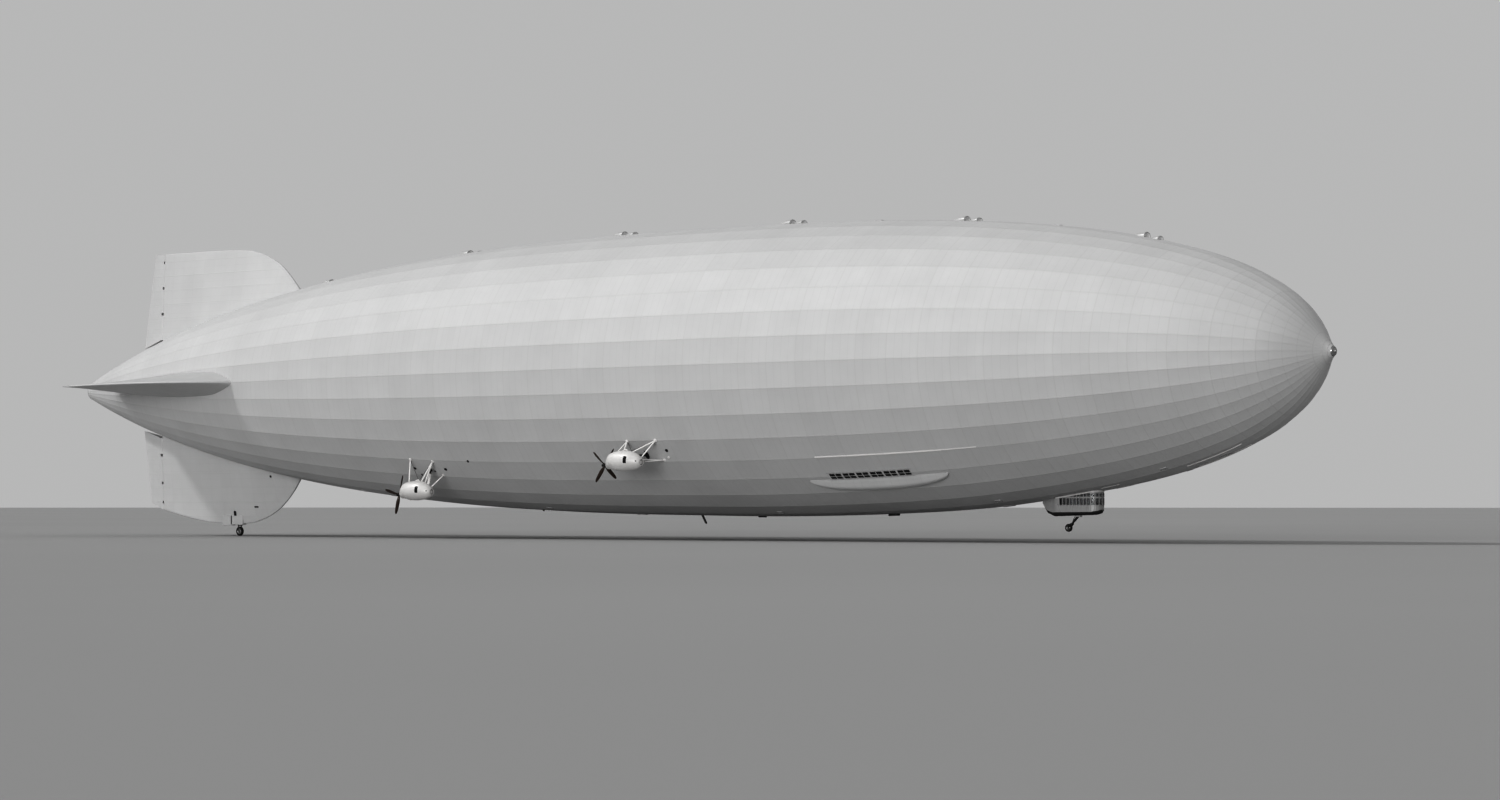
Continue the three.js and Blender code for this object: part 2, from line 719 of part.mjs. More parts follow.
function cabinBlock(inset, rise) {
  return slab(cabinPlan(inset), CABIN.below, CABIN.top, "z").intersect(aboveKeel(0, -rise));
}

function cabinPanes() {
  const rows = [
    [CABIN.sill, CABIN.head, 0],
    [CABIN.upperSill, CABIN.upperHead, CABIN.firstUpperPane],
  ];
  const cuts = [];
  for (const [low, high, first] of rows) {
    for (let i = first; i < CABIN.sidePanes; i += 1) {
      const x = CABIN.firstPane + i * CABIN.panePitch;
      cuts.push(box(x, 0, (low + high) / 2, CABIN.paneWidth, 4, high - low));
    }
    for (const turn of CABIN.bowPanes) {
      const cut = box(CABIN.halfWidth, 0, (low + high) / 2, 1, CABIN.paneWidth, high - low);
      cuts.push(cut.rotate([0, 0, turn]).translate([CABIN.bowCentre * M, 0, 0]));
    }
  }
  return cuts;
}

const room = cabinBlock(CABIN.wall, CABIN.wall);
const roofOpening = block(CABIN.rearX, CABIN.bowCentre, CABIN.halfWidth - CABIN.wall, CABIN.top - 1, CABIN.top + 1);
let cabin = cabinBlock(0, 0).subtract(room).subtract(roofOpening).subtract(hullSeat);
for (const cut of cabinPanes()) cabin = cabin.subtract(cut);
add("control_car", largest(cabin), silver());

const glassInset = CABIN.wall + FIT;
const { firstPane, sill, upperHead, glassLap } = CABIN;
const glassBand = cabinBlock(glassInset, glassInset)
  .intersect(block(firstPane - 2 * glassLap, KEEL_FRONT, 2, sill - glassLap, upperHead + glassLap))
  .subtract(slab(cabinPlan(glassInset + CABIN.glass), CABIN.below, CABIN.top, "z"))
  .subtract(hullSeat);
add("control_car_glass", largest(glassBand), glass());

const bumperSide = [...keelLine(0, FIT), ...keelLine(1, 0).reverse()];
const bumper = slab(bumperSide, -BUMPER.halfWidth, BUMPER.halfWidth, "y")
  .intersect(slab(cabinPlan(BUMPER.inset), CABIN.below, CABIN.top, "z"));
add("control_car_bumper", bumper, darkPaint());

// Landing wheels and their legs

function tyre(radius, half) {
  const rim = radius * WHEEL.rimShare;
  return [
    [-half * 0.7, rim],
    [-half, rim + (radius - rim) * 0.4],
    [-half * 0.75, radius - 0.03],
    [-half * 0.3, radius],
    [half * 0.3, radius],
    [half * 0.75, radius - 0.03],
    [half, rim + (radius - rim) * 0.4],
    [half * 0.7, rim],
    [-half * 0.7, rim],
  ];
}

function hub(radius, half) {
  const rim = radius * WHEEL.rimShare - FIT;
  return [
    [-WHEEL.hubHalf, WHEEL.bore],
    [-WHEEL.hubHalf, 0.17],
    [-half * 0.35, 0.2],
    [-half * 0.35, rim - 0.06],
    [-half * 0.6, rim],
    [half * 0.6, rim],
    [half * 0.35, rim - 0.06],
    [half * 0.35, 0.2],
    [WHEEL.hubHalf, 0.17],
    [WHEEL.hubHalf, WHEEL.bore],
    [-WHEEL.hubHalf, WHEEL.bore],
  ];
}

// A leg with its fork and axle
function gearLeg(x, z, radius, half, footX, footZ) {
  const spread = Math.max(half, WHEEL.hubHalf) + WHEEL.side + WHEEL.arm / 2;
  const away = new THREE.Vector2(footX - x, footZ - z).normalize();
  const crownAt = radius + 0.07 + WHEEL.crown;
  const crown = [x + away.x * crownAt, z + away.y * crownAt];
  const tilt = Math.atan2(away.x, away.y);
  const turnArm = (piece) => piece.rotate([0, tilt / DEG, 0]).translate([x * M, 0, z * M]);
  const arms = [-1, 1].map((side) =>
    turnArm(box(0, side * spread, crownAt / 2, 2 * WHEEL.armHalf, WHEEL.arm, crownAt + 2 * WHEEL.crown)),
  );
  const bridge = turnArm(box(0, 0, crownAt, 2 * WHEEL.armHalf, 2 * spread + WHEEL.arm, 2 * WHEEL.crown));
  const axle = bar([x, -spread, z], [x, spread, z], WHEEL.axle, 12);
  const leg = bar([crown[0], 0, crown[1]], [footX, 0, footZ], 0.13, 10);
  return join(...arms, bridge, axle, leg);
}

const aboveTailKeel = block(TAIL_KEEL.padTo, TAIL_KEEL.seatTo + 1, 2, TAIL_KEEL.seatBottom - FIT, TAIL_KEEL.top);
for (const [name, x, z, radius, half, footX, footZ] of WHEELS) {
  const place = [x * M, 0, z * M];
  const turnedWheel = (profile, sides) => turned(profile, sides).rotate([0, 0, 90]).translate(place);
  add(`${name}_tyre`, turnedWheel(tyre(radius, half), WHEEL.sides), rubber());
  add(`${name}_wheel_hub`, turnedWheel(hub(radius, half), WHEEL.sides), steel());
  let leg = gearLeg(x, z, radius, half, footX, footZ);
  const plate = box(footX, 0, footZ, GEAR_PLATE.long, GEAR_PLATE.wide, GEAR_PLATE.thick);
  const seat = name === "forward" ? aboveKeel(1, FIT) : aboveTailKeel;
  leg = leg.add(plate).subtract(seat);
  add(`${name}_gear_leg`, largest(leg), paint());
}

// Promenades

// How much of its full height and width the bulge has at x
function bayShare(x) {
  const along = (2 * (x - BAY.from)) / (BAY.to - BAY.from) - 1;
  return Math.sqrt(1 - Math.abs(along) ** BAY.power);
}

// A skin over the hull along X. Each of its rows gives an angle below the horizontal, and its inner
// and outer height over the hull there
function skinSlab(from, to, steps, rowsAt, side) {
  const rings = [];
  for (let i = 0; i <= steps; i += 1) {
    const x = from + ((to - from) * i) / steps;
    const place = (angle, over) => {
      const radius = skinRadius(x, angle) + over;
      return [x, side * radius * Math.cos(angle * DEG), -radius * Math.sin(angle * DEG)];
    };
    const rows = rowsAt(x);
    const outer = rows.map(([angle, , over]) => place(angle, over));
    const inner = rows.map(([angle, under]) => place(angle, under)).reverse();
    rings.push([...outer, ...inner]);
  }
  return lofted(rings).subtract(hullSeat);
}

// Rows of the bulge at x, which falls to nothing at its edges and both ends
function bayRows(x) {
  const share = bayShare(x);
  const top = BAY.angles[0];
  return BAY.angles.map((angle, k) => [top + (angle - top) * share, -BAY.bulge, BAY.skin + BAY.bulge * share * BAY.rise[k]]);
}

const windowRows = () => BAY_WINDOWS.angles.map((angle) => [angle, -BAY_WINDOWS.thick, BAY_WINDOWS.thick + FIT]);

for (const [name, side] of [["port", 1], ["starboard", -1]]) {
  const bay = skinSlab(BAY.from + BAY.blunt, BAY.to - BAY.blunt, BAY.steps, bayRows, side);
  add(`${name}_promenade_bay`, largest(bay), silver());
  const windows = skinSlab(BAY_WINDOWS.from, BAY_WINDOWS.to, BAY_WINDOWS.steps, windowRows, side);
  add(`${name}_promenade_windows`, largest(windows), glass());
}

// Ventilation hoods on the ridge: half bullets, open forward, two on one sill

function bullet(long, half, high) {
  const geometry = new THREE.SphereGeometry(1, HOOD.sides, HOOD.rings);
  geometry.rotateZ(Math.PI / 2);
  return solidOf(geometry.scale(long * M, half * M, high * M));
}

const hoodShells = HOOD_PAIR.map(([ahead, long, half, high]) => {
  const behindMouth = block(-long - 1, 0, half + 1, -high - 1, high + 1);
  const inside = bullet(long - HOOD.wall, half - HOOD.wall, high - HOOD.wall);
  return bullet(long, half, high).intersect(behindMouth).subtract(inside).translate([ahead * M, 0, 0]);
});

// Each pair stands level, at the hull's height midway between its mouths
HOODS.forEach((x, i) => {
  const z = hullRadius(x + HOOD_PAIR[1][0] / 2);
  const sillTop = HOOD.sillTop + Math.max(hullRadius(x) - z, 0);
  const sill = block(HOOD.sillFrom, HOOD.sillTo, HOOD.sillHalf, HOOD.sillBottom, sillTop);
  const seated = join(...hoodShells, sill).translate([x * M, 0, z * M]);
  add(`vent_hood_${i + 1}`, largest(seated.subtract(hullSeat)), paint());
});

export default ship;
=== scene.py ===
from math import copysign, cos, pi, sin, sqrt

import bmesh
import bpy
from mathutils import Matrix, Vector


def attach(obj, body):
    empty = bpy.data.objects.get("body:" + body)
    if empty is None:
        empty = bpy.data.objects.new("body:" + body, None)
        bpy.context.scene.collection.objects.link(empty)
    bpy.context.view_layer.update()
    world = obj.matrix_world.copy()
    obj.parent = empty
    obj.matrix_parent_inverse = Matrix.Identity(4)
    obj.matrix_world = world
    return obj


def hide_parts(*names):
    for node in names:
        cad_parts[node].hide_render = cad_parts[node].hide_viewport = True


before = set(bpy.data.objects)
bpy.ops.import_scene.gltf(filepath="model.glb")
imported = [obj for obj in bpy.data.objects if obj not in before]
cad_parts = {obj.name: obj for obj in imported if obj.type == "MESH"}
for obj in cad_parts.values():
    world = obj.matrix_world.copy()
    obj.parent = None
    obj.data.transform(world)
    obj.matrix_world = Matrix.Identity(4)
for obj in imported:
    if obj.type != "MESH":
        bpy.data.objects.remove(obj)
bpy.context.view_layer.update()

# Sizes are metres of the full-size ship, as in the part's source. SCALE turns them into metres of the model.
# X runs forward, Y to port and Z up, from the centre of lift on the hull's axis.
SCALE = 0.1
DEG = pi / 180
SIDES = {"port": 1, "starboard": -1}

# Hull
HULL_SIDES = 36
HULL_RADIUS = 20.6
STERN_X = -132.7
STERN_RADIUS = 1.5
NOSE_X = 111.55
NOSE_RADIUS = 0.62
MIDSHIP_X = 15
TAIL_CURVE = [
    (STERN_X, STERN_RADIUS), (STERN_X + 51.7, 21.3),
    (MIDSHIP_X - 32.8, HULL_RADIUS), (MIDSHIP_X, HULL_RADIUS),
]
NOSE_CURVE = [
    (MIDSHIP_X, HULL_RADIUS), (MIDSHIP_X + 95, HULL_RADIUS),
    (NOSE_X - 4.7, 4.13), (NOSE_X, NOSE_RADIUS),
]
HULL_STEPS = 96
PANEL_STEPS = 4
PANEL_SAG = 0.022  # how far the cloth dips between two longitudinal girders
SAG_FULL_RADIUS = 8  # the panels sag less where the hull is slimmer than this
FRAME_PITCH = 5.0  # from one transverse frame to the next
GORE_PITCH = 1.25  # width of the cover's strips of cloth
COVER_MIDDLE = (-124, 103)  # where the cover has even stations, and every point of the profile beyond them
COVER_ENDS = (-125, 104)
# The cover hangs a little lower along the keel: columns are x, drop
KEEL_DROP = [
    (-25, 0), (6, 0.2), (15, 0.3), (40, 0.42), (59, 0.58), (66, 0.5), (75, 0.4), (100, 0.3), (108, 0.18),
    (111, 0),
]

# Stern and nose: columns are distance ahead of the stern or nose, radius
STERN_RIM = [(0.35, 1.1), (0.3, 1.35), (0.02, 1.52)]
STERN_DOME = {"steps": 12, "deep": 0.6, "bolts": 24, "bolt": 0.03}
STERN_LIGHT = [(-0.66, 0), (-0.66, 0.1), (-0.6, 0.16), (-0.5, 0.2)]
NOSE_SPINDLE = [
    (-0.35, 0.3), (-0.3, 0.56), (-0.02, 0.66), (0.03, 0.64), (0.08, 0.62), (0.15, 0.575), (0.17, 0.54),
    (0.19, 0.36), (0.24, 0.28), (0.33, 0.21), (0.36, 0.2), (0.38, 0.17), (0.42, 0.16), (0.45, 0.14),
]
NOSE_BOLTS = {"x": 0.17, "radius": 0.46, "count": 12, "size": 0.035}
PLATING = {"from": -1.5, "to": -0.02, "laps": (-0.35, -0.8), "out": 0.045, "bolts": 36, "bolt": 0.016}
LAP = [(-0.03, -0.02), (-0.02, 0.02), (0.02, 0.015), (0.03, -0.03)]  # along X, out from the plating
END_SIDES = 72

# Covers on both sides of the hull, with a light face or a dark face of painted shadow, and with or without a
# rim of
# their own: columns are x, degrees below the horizontal, half length, half height, stand-out, dark, rim
HULL_COVERS = [
    (9.75, 36.6, 0.34, 0.66, 0.1, True, False), (9.33, 36.6, 0.05, 0.7, 0.12, False, False),
    (13.82, 34.74, 0.25, 0.23, 0.05, True, False), (13.6, 38, 0.2, 0.18, 0.06, False, False),
    (-36.74, 45.3, 0.42, 0.38, 0.1, True, True), (-36.1, 46.9, 0.13, 0.13, 0.05, True, False),
    (-40.32, 45.7, 0.24, 0.22, 0.05, True, False), (-33.39, 45.4, 0.26, 0.22, 0.05, True, False),
    (-27.14, 40, 0.2, 0.2, 0.05, True, False), (-39.7, 49.5, 0.16, 0.16, 0.05, True, False),
]
# Strips along both sides: columns are x of both ends, degrees below the horizontal, steps, half height,
# stand-out
HULL_STRIPS = [
    (39.68, 60.5, 39.6, 24, 0.11, 0.08), (60.5, 66, 39.6, 8, 0.07, 0.05), (90.5, 98.6, 84.3, 10, 0.09, 0.08),
    (77.2, 80, 84.3, 6, 0.07, 0.06),
]
# Rimmed hatches: columns are places along X, degrees below the horizontal, half length, half height,
# stand-out, squareness. Those at the keel and on the ridge stand on the middle line.
SIDE_HATCHES = ((-62, -21, 24, 62, 88), 78, 0.45, 0.3, 0.04, 5)
KEEL_HATCHES = ((95.5, 60.8, -6.2, -58.5), 90, 0.7, 0.45, 0.05, 5)
RIDGE_HATCHES = ((-61.5, 5.2, 38.5, 69), -90, 0.5, 0.4, 0.05, 4)
# Dark domes at the keel: columns are x, half length, half width, stand-out
KEEL_DOMES = [(41, 0.95, 0.5, 0.26), (17, 0.7, 0.4, 0.16)]
# Bent pipe at the keel: columns are x, z, radius
KEEL_PIPE = [(5.4, 0.1 - HULL_RADIUS, 0.16), (5.6, -20.9, 0.15), (6.2, -21.85, 0.15), (6.3, -21.95, 0.11)]

# Tail surfaces: columns are x, reach from the axis, half thickness at the hull
HINGE_X = -114.4
FIN_ROOT_AT_HINGE = 0.97
FIN_RIM_HALF = 0.12
UPPER_FIN = [
    (HINGE_X, 22.5, FIN_ROOT_AT_HINGE), (-105, 22.5, 1.57), (-98.5, 22.45, 1.84), (-93.5, 22.2, 1.93),
    (-90.5, 21.6, 1.92), (-87.6, 20.6, 1.84), (-85.2, 19.3, 1.7), (-83.3, 17.7, 1.25), (-81.5, 15.9, 0.76),
    (-80.3, 14.6, 0.25),
]
LOWER_FIN = [
    (HINGE_X, 20.1, FIN_ROOT_AT_HINGE), (-107, 21.5, 1.44), (-102, 22.1, 1.72), (-96.5, 22.35, 1.89),
    (-92.5, 22.2, 1.93), (-89.6, 21.6, 1.9), (-86.5, 20.4, 1.79), (-84.1, 18.8, 1.36), (-82, 16.8, 0.8),
    (-80.3, 14.6, 0.25),
]
FIN_DEPTH = 0.5  # how far a fin reaches down under the hull's skin
FIN_STATIONS = 64
FIN_LEVELS = 34
FIN_TIP_STEPS = 5
FIN_TIP_ROUND = 1.2
FIN_SHARP = 28
GROOVE_STEPS = 10
GROOVE_LIP = 0.6
RIB_PITCH = 2.6
GIRDER_PITCH = 2.35
FIN_SAG = 0.014
SAG_FADE = (2.5, 1.5)  # heights over which the sag fades out, below the rim and above the root
RUDDER_GAP = 0.09
RUDDER_INSET = 0.02
RUDDER_ROOT = 8.15
RUDDER_ROOT_RISE = 0.24
RUDDER_TAIL_HALF = 0.05
RUDDER_RIB_PITCH = 1.05
RUDDER_SAG = 0.006
RUDDER_FRONT_STEPS = 8
RUDDER_SIDE_STEPS = 18
TAPE = {"half": 0.04, "out": 0.008, "edge": 0.8}
HINGE = {"pin": 0.06, "bore": 0.064, "eye": 0.13, "arm_half": 0.08, "tall": 0.3, "notch": 0.42,
         "notch_back": 0.21, "reach": 1.1, "sides": 24}
COLLAR = [(0, 0), (0, 0.1), (0.04, 0.11), (0.06, 0)]  # beyond the notch's edge, radius
UPPER_RUDDER = {"reach": 22.45, "clip": 0, "trail_root": -119.5, "trail_tip": -116.8,
                "hinges": [12.5, 16.8, 21.1]}
LOWER_RUDDER = {"reach": 20.05, "clip": 0.36, "trail_root": -119.5, "trail_tip": -117.6,
                "hinges": [11, 15.6, 18.8]}
# Columns are fin, its table, its rudder or elevator, that one's sizes, turn about X in degrees
TAIL = [
    ("upper_fin", UPPER_FIN, "upper_rudder", UPPER_RUDDER, 0),
    ("lower_fin", LOWER_FIN, "lower_rudder", LOWER_RUDDER, 180),
    ("port_fin", LOWER_FIN, "port_elevator", LOWER_RUDDER, -90),
    ("starboard_fin", LOWER_FIN, "starboard_elevator", LOWER_RUDDER, 90),
]
# Blocks under the lower fin for the docking pad and the wheel: columns are x of both ends, z of underside
TAIL_KEEL = {"half": 0.42, "top": -21, "bevel": 0.06,
             "blocks": [(-99.2, -96.9, -22.6), (-97.2, -94.3, -22.5)]}
# Openings in the sides of the lower fin: columns are x, distance below the axis, half length, half height
LOWER_FIN_OPENINGS = [(-96.1, 20.9, 0.26, 0.62), (-90.7, 19.6, 0.42, 0.08), (-86.2, 14.7, 0.14, 0.14)]
OPENING_FRAME = 0.06

# Engine cars: columns are name, pair, x, y and z of the propeller's hub, turn of its first blade from upright
ENGINE_CARS = [
    ("fore_port", "fore", 5.3, 20.4, -13.75, 20),
    ("fore_starboard", "fore", 5.3, -20.4, -13.75, 52),
    ("aft_port", "aft", -42.3, 14.8, -17.75, 33),
    ("aft_starboard", "aft", -42.3, -14.8, -17.75, -14),
]
# Car body: columns are distance ahead of the hub, radius
CAR_BODY = [
    (0.45, 0.3), (0.75, 0.72), (1.35, 1.1), (2.25, 1.34), (3.2, 1.43), (4, 1.45), (5, 1.35), (5.9, 1.13),
    (6.5, 0.87), (6.85, 0.62), (7, 0.45),
]
CAR_LIFT = 0.6
CAR_LIFT_FROM = 0.35
CAR_LIFT_TO = 1.5
CAR_DROOP = 0.2
CAR_DROOP_FROM = 4.8
CAR_FRONT = CAR_BODY[-1][0]
CAR_SIDES = 64
CAR_STEPS = 66
CAR_EDGE = 0.02
CAR_BORE = 0.124
CAR_BORE_END = 2.24
# The air inlet: a dome and vanes in a round mouth
MOUTH_RADIUS = 0.37
MOUTH_DEPTH = 0.2
MOUTH_DOME = 0.29
DOME_LONG = 0.11
MOUTH_VANES = 30
VANES_AHEAD = 0.06  # of the mouth's flat bottom
# Laps of a car's panels: round the car at these distances ahead of the hub, and along it at these angles
CAR_LAP = [(-1, -0.004), (-0.9, 0.006), (0.9, 0.006), (1, -0.004)]
ROUND_LAPS = (1.35, 2.45, 4.1, 5.75)
LONG_LAPS = (0, 62, 118, 180, 242, 298)
ROUND_LAP_HALF = 0.04
LONG_LAP_HALF = 0.03
LONG_LAP_ENDS = (1.0, 6.4)
LONG_LAP_STEPS = 30
RIVETS = 54
RIVET = {"size": 0.009, "apart": 0.02, "root": -0.002, "tip": 0.014, "sides": 5}
# Windows of a car: columns are ahead of the hub, degrees round from the top, half length, half height
CAR_WINDOWS = [(4.97, 83, 0.26, 0.48), (6.6, 81, 0.07, 0.08)]
# Louvres: count, first one ahead of the hub, pitch, degrees from the top, half length, half height
LOUVRES = [(6, 1.75, 0.11, 112, 0.03, 0.26), (5, 2.75, 0.12, 146, 0.035, 0.22)]
EXHAUSTS = {"count": 3, "ahead": 2.6, "pitch": 0.42, "back": 0.15, "degrees": 125, "deep": -0.1,
            "out": 0.2, "radius": 0.055}
# Scoop on a car's top: columns are ahead of the hub, stand-out, radius
SCOOP = [(4.35, 0, 0.08), (4.3, 0.08, 0.11), (4.1, 0.12, 0.12), (3.8, 0.09, 0.1), (3.4, 0, 0.04)]

# Blade: columns are radius, chord, thickness, pitch in degrees
BLADE = [
    (0.15, 0.26, 0.2, 62), (0.5, 0.36, 0.15, 52), (1.2, 0.52, 0.1, 34), (2.3, 0.46, 0.055, 21),
    (3, 0.22, 0.03, 17),
]
BLADE_STEPS = 34
BLADE_SIDES = 22
BLADE_TIP = 0.12  # length over which the blade's end is rounded
BLADE_FLAT = 0.6  # thickness of the blade's flatter face, as a share of the other's
PROPELLER = {"hub": 0.27, "hub_length": 0.62, "nose": 0.24, "shaft": 0.12, "shaft_end": 2.195,
             "blades": 4, "bolts": 8}

# Struts: columns are pair, name, foot ahead of the hub, foot's angle below the horizontal, radius,
# then each leg's end, ahead of the hub and round the car in degrees from its top to inboard
STRUTS = [
    ("fore", "rear_struts", 1.82, 30.3, 0.11, (2.5, -12), (3.6, 0)),
    ("fore", "front_struts", 7.26, 30.05, 0.11, (4.9, 5), (6.1, 60)),
    ("fore", "lower_struts", 7.33, 39.3, 0.09, (4.6, 80), (5.9, 95)),
    ("fore", "access_tube", 4.42, 36.8, 0.22, (4.3, 55)),
    ("aft", "rear_struts", 2.34, 40.25, 0.11, (2.4, -15)),
    ("aft", "front_struts", 7.19, 40.8, 0.11, (4.5, 5), (5.2, 15)),
    ("aft", "lower_struts", 7.42, 49.24, 0.09, (5.2, 78), (6.3, 38)),
    ("aft", "access_tube", 5.56, 45.5, 0.22, (5.75, 25)),
]
STRUT_DEPTH = 0.25  # how far a strut goes into the car
# A strut's swelling: columns are share of its length, share of its radius
STRUT_SWELL = [(0.005, 0.8), (0.06, 0.85), (0.12, 1.15), (0.5, 1.25), (0.8, 1.15), (0.9, 0.95), (1, 0.9)]
# Bracing wires: columns are pair, struts from whose foot it starts, its end ahead and round the car
WIRES = [
    ("fore", "rear_struts", 4.6, 30), ("fore", "front_struts", 3.6, 35), ("fore", "lower_struts", 3.4, 100),
    ("aft", "rear_struts", 4.1, 5), ("aft", "front_struts", 3.2, 30), ("aft", "lower_struts", 4.2, 100),
]
WIRE_RADIUS = 0.022
RUNG = {"pitch": 0.36, "radius": 0.06, "reach": 1.35, "rail": 0.04}
# The dark share of each access fairing below its hatch is painted shadow
FAIRING_SHADOW_SHARE = {"fore": 0.9, "aft": 0.3}  # share of each access fairing, from its hatch down, that is dark

# Control car
CABIN = {"half_width": 1.25, "bow_centre": 74.85, "rear_x": 66.6, "rear_half": 0.3, "flare_x": 69.4,
         "pane": 0.44, "pitch": 0.56, "first_pane": 70.3, "side_panes": 9, "frame": 0.035,
         "frame_out": 0.028}
# Rows of panes along each side: columns are z of both edges, number of the first pane
PANE_BANDS = [(-19.3, -18.44, 0), (-18.22, -17.8, 3)]
BOW_PANES = [-66, -39.6, -13.2, 13.2, 39.6, 66]
BOW_SHARE = 0.996
# Underside of the control car: columns are x, z, depth of the bumper under it
CABIN_KEEL = [
    (66.6, -19.1, 0.26), (67.5, -20, 0.44), (68.6, -20.3, 0.52), (75, -20.25, 0.38), (75.85, -20.08, 0.32),
    (76.15, -19.85, 0.28),
]
# Rails round the car: columns are z of both edges, stand-out, x where it starts
BELTS = [(-19.44, -19.38, 0.03, 68.0), (-18.37, -18.31, 0.025, 69.3)]
POSTS_X = (68.4, 69.3, 70.0, 72.25, 74.5)
POST_RADIUS = 0.035
DOOR = {"x": 69.65, "z": -19.2, "half_long": 0.28, "half_tall": 0.78, "handle": (0.18, -19.15, -19.35),
        "grip": 0.02}
DECK_Z = -20.05
DECK = ((68.9, -0.98, -20.09), (75.4, 0.98, -20.04))
CHART_TABLE = ((71.2, -0.95, -19.45), (72.6, -0.35, -19.38))
TABLE_LEGS = {"x": (71.35, 72.45), "y": -0.65, "top": -19.42, "radius": 0.05}
INSTRUMENTS = ((75.35, -0.5, -19.25), (75.55, 0.5, -18.95))
HAND_WHEELS = [(75.1, 0.0, "x"), (73.7, -0.75, "y")]  # x, y, axis
HAND_WHEEL = {"z": -19.3, "radius": 0.42, "rim": 0.03, "spoke": 0.018, "stand": (0.09, 0.06, 0.05),
              "stand_back": 0.12, "stand_front": 0.02}
BUMPER = {"from": 66.75, "to": 76.0, "half_width": 0.95, "inset": 0.12, "strap_pitch": 1.15, "nip": 0.035,
          "share": 0.965, "square": 0.55}

# Landing wheels: columns are name, x and z of the axle, the tyre's radius and half width, x and z of the
# leg's foot
WHEELS = [
    ("forward", 70.65, -22.35, 0.52, 0.18, 72.2, -20.8),
    ("tail", -95.4, -23.55, 0.75, 0.22, -95.4, -22.5),
]
WHEEL = {"axle": 0.09, "bore": 0.0945, "rim_share": 0.62, "hub_half": 0.2, "side": 0.08, "arm": 0.07,
         "fork_top": 0.12, "clear": 0.07}
TREAD = {"blocks": 96, "deep": 0.012, "from": 0.8}
WHEEL_BOLTS = {"count": 8, "ring": 0.22, "size": 0.018}
# Leg, from the fork up: columns are share of its length, radius
LEG = [(-0.02, 0.15), (0.05, 0.13), (0.45, 0.13), (0.46, 0.18), (0.52, 0.18), (0.53, 0.16), (0.94, 0.16)]
BRACE_RADIUS = 0.035
LEG_FOOT = {"half_long": 0.44, "half_wide": 0.29, "low": 0.1, "bolt_x": 0.34, "bolt_y": 0.2, "bolt": 0.03}

# Promenades: a band of windows in the hull's skin, and a long bulge right under it
BAY = {"from": 36.3, "to": 59.6, "power": 2.6, "bulge": 0.62, "skin": 0.03, "edge": -0.2}
# The bulge's section: columns are degrees below the horizontal, share of the bulge
BAY_TABLE = [(51.8, 0), (53.6, 0.55), (55.7, 1), (57.3, 0.8), (59, 0)]
BAY_TOP, BAY_BOTTOM = BAY_TABLE[0][0], BAY_TABLE[-1][0]
BAY_WINDOWS = {"from": 40.2, "to": 54, "low": 51.4, "high": 48.3, "bays": 6}
# Each bay of windows has two by two panes: shares of the bay's pitch and of the band's height
PANE_ALONG = (0.27, 0.73)
PANE_DOWN = (0.26, 0.74)
PANE_HALF = (0.195, 0.19)
PANE_FRAME = 1.16
# Strips over and under the panes: degrees beyond them, length beyond their ends, and a section whose columns
# are degrees from its middle, stand-out
SILL_BEYOND = 0.35
SILL_OVER = 0.2
SILL = [(-0.12, 0), (-0.1, 0.08), (0.1, 0.08), (0.12, 0)]

# Ventilation hoods on the ridge: x of each pair's rear mouth
HOODS = [-73.5, -42.2, -9.8, 22.7, 53.8, 83.4]
# Hoods of a pair: columns are mouth ahead of x, length, half width, height
HOOD_PAIR = [(0, 2.3, 0.78, 0.62), (2.1, 1.7, 0.7, 0.44)]
# A hood's lip and throat: columns are behind the mouth, as a length or as a share of the hood's, and width
HOOD_LIP = [(0.03, 1.015), (0, 1.01), (0, 0.95), (0.05, 0.93)]
HOOD_THROAT = [(0.08, 0.88), (0.13, 0.6), (0.15, 0.02)]

CAMERA = {"place": (35.189, -38.930, -1.948), "heading": (-0.6548, 0.7558), "pitch": 1.69, "lens": 86.38,
          "sensor": 36, "far": 3000}
# Lights: columns are name, energy, width in degrees, direction it comes from
LIGHTS = [("key", 1.15, 5, (-0.543, -0.472, 0.695)), ("fill", 2.05, 35, (0.25, -0.965, 0.06))]
SKY_GREY = 0.64
FILM_GAMMA = 0.6
FLOOR_Z = -2.432
FLOOR_REACH = 900
FLOOR_GREY = (0.43, 0.47)


# Small helpers

def ease(t):
    return t * t * (3 - 2 * t)


def clamp(value, low=0.0, high=1.0):
    return min(max(value, low), high)


def between(start, end, steps):
    return [start + (end - start) * i / steps for i in range(steps + 1)]


def power(value, exponent):
    """A power that keeps the sign of its base."""
    return copysign(abs(value) ** exponent, value)


def circle(count):
    """Cosine and sine of turns that part a circle evenly."""
    return [(cos(2 * pi * k / count), sin(2 * pi * k / count)) for k in range(count)]


def through(table, x, column=1):
    """A smooth curve through one column of a table, with no overshoot between its rows."""
    rows = sorted(table, key=lambda row: row[0])
    k = max(i for i in range(len(rows) - 1) if rows[i][0] <= x or i == 0)

    def rise(i):
        return (rows[i + 1][column] - rows[i][column]) / (rows[i + 1][0] - rows[i][0])

    def lean(i):
        if i == 0 or i == len(rows) - 1:
            return rise(min(i, len(rows) - 2))
        before, after = rise(i - 1), rise(i)
        return 0 if before * after <= 0 else 2 * before * after / (before + after)

    span = rows[k + 1][0] - rows[k][0]
    t = clamp((x - rows[k][0]) / span)
    low, high = rows[k][column], rows[k + 1][column]
    return (low * (1 + 2 * t) * (1 - t) ** 2 + high * t * t * (3 - 2 * t)
            + span * (lean(k) * t * (1 - t) ** 2 - lean(k + 1) * t * t * (1 - t)))


def moved(points, offset):
    return [tuple(a + b for a, b in zip(point, offset)) for point in points]


def turn_x(points, degrees):
    c, s = cos(degrees * DEG), sin(degrees * DEG)
    return [(x, y * c - z * s, y * s + z * c) for x, y, z in points]


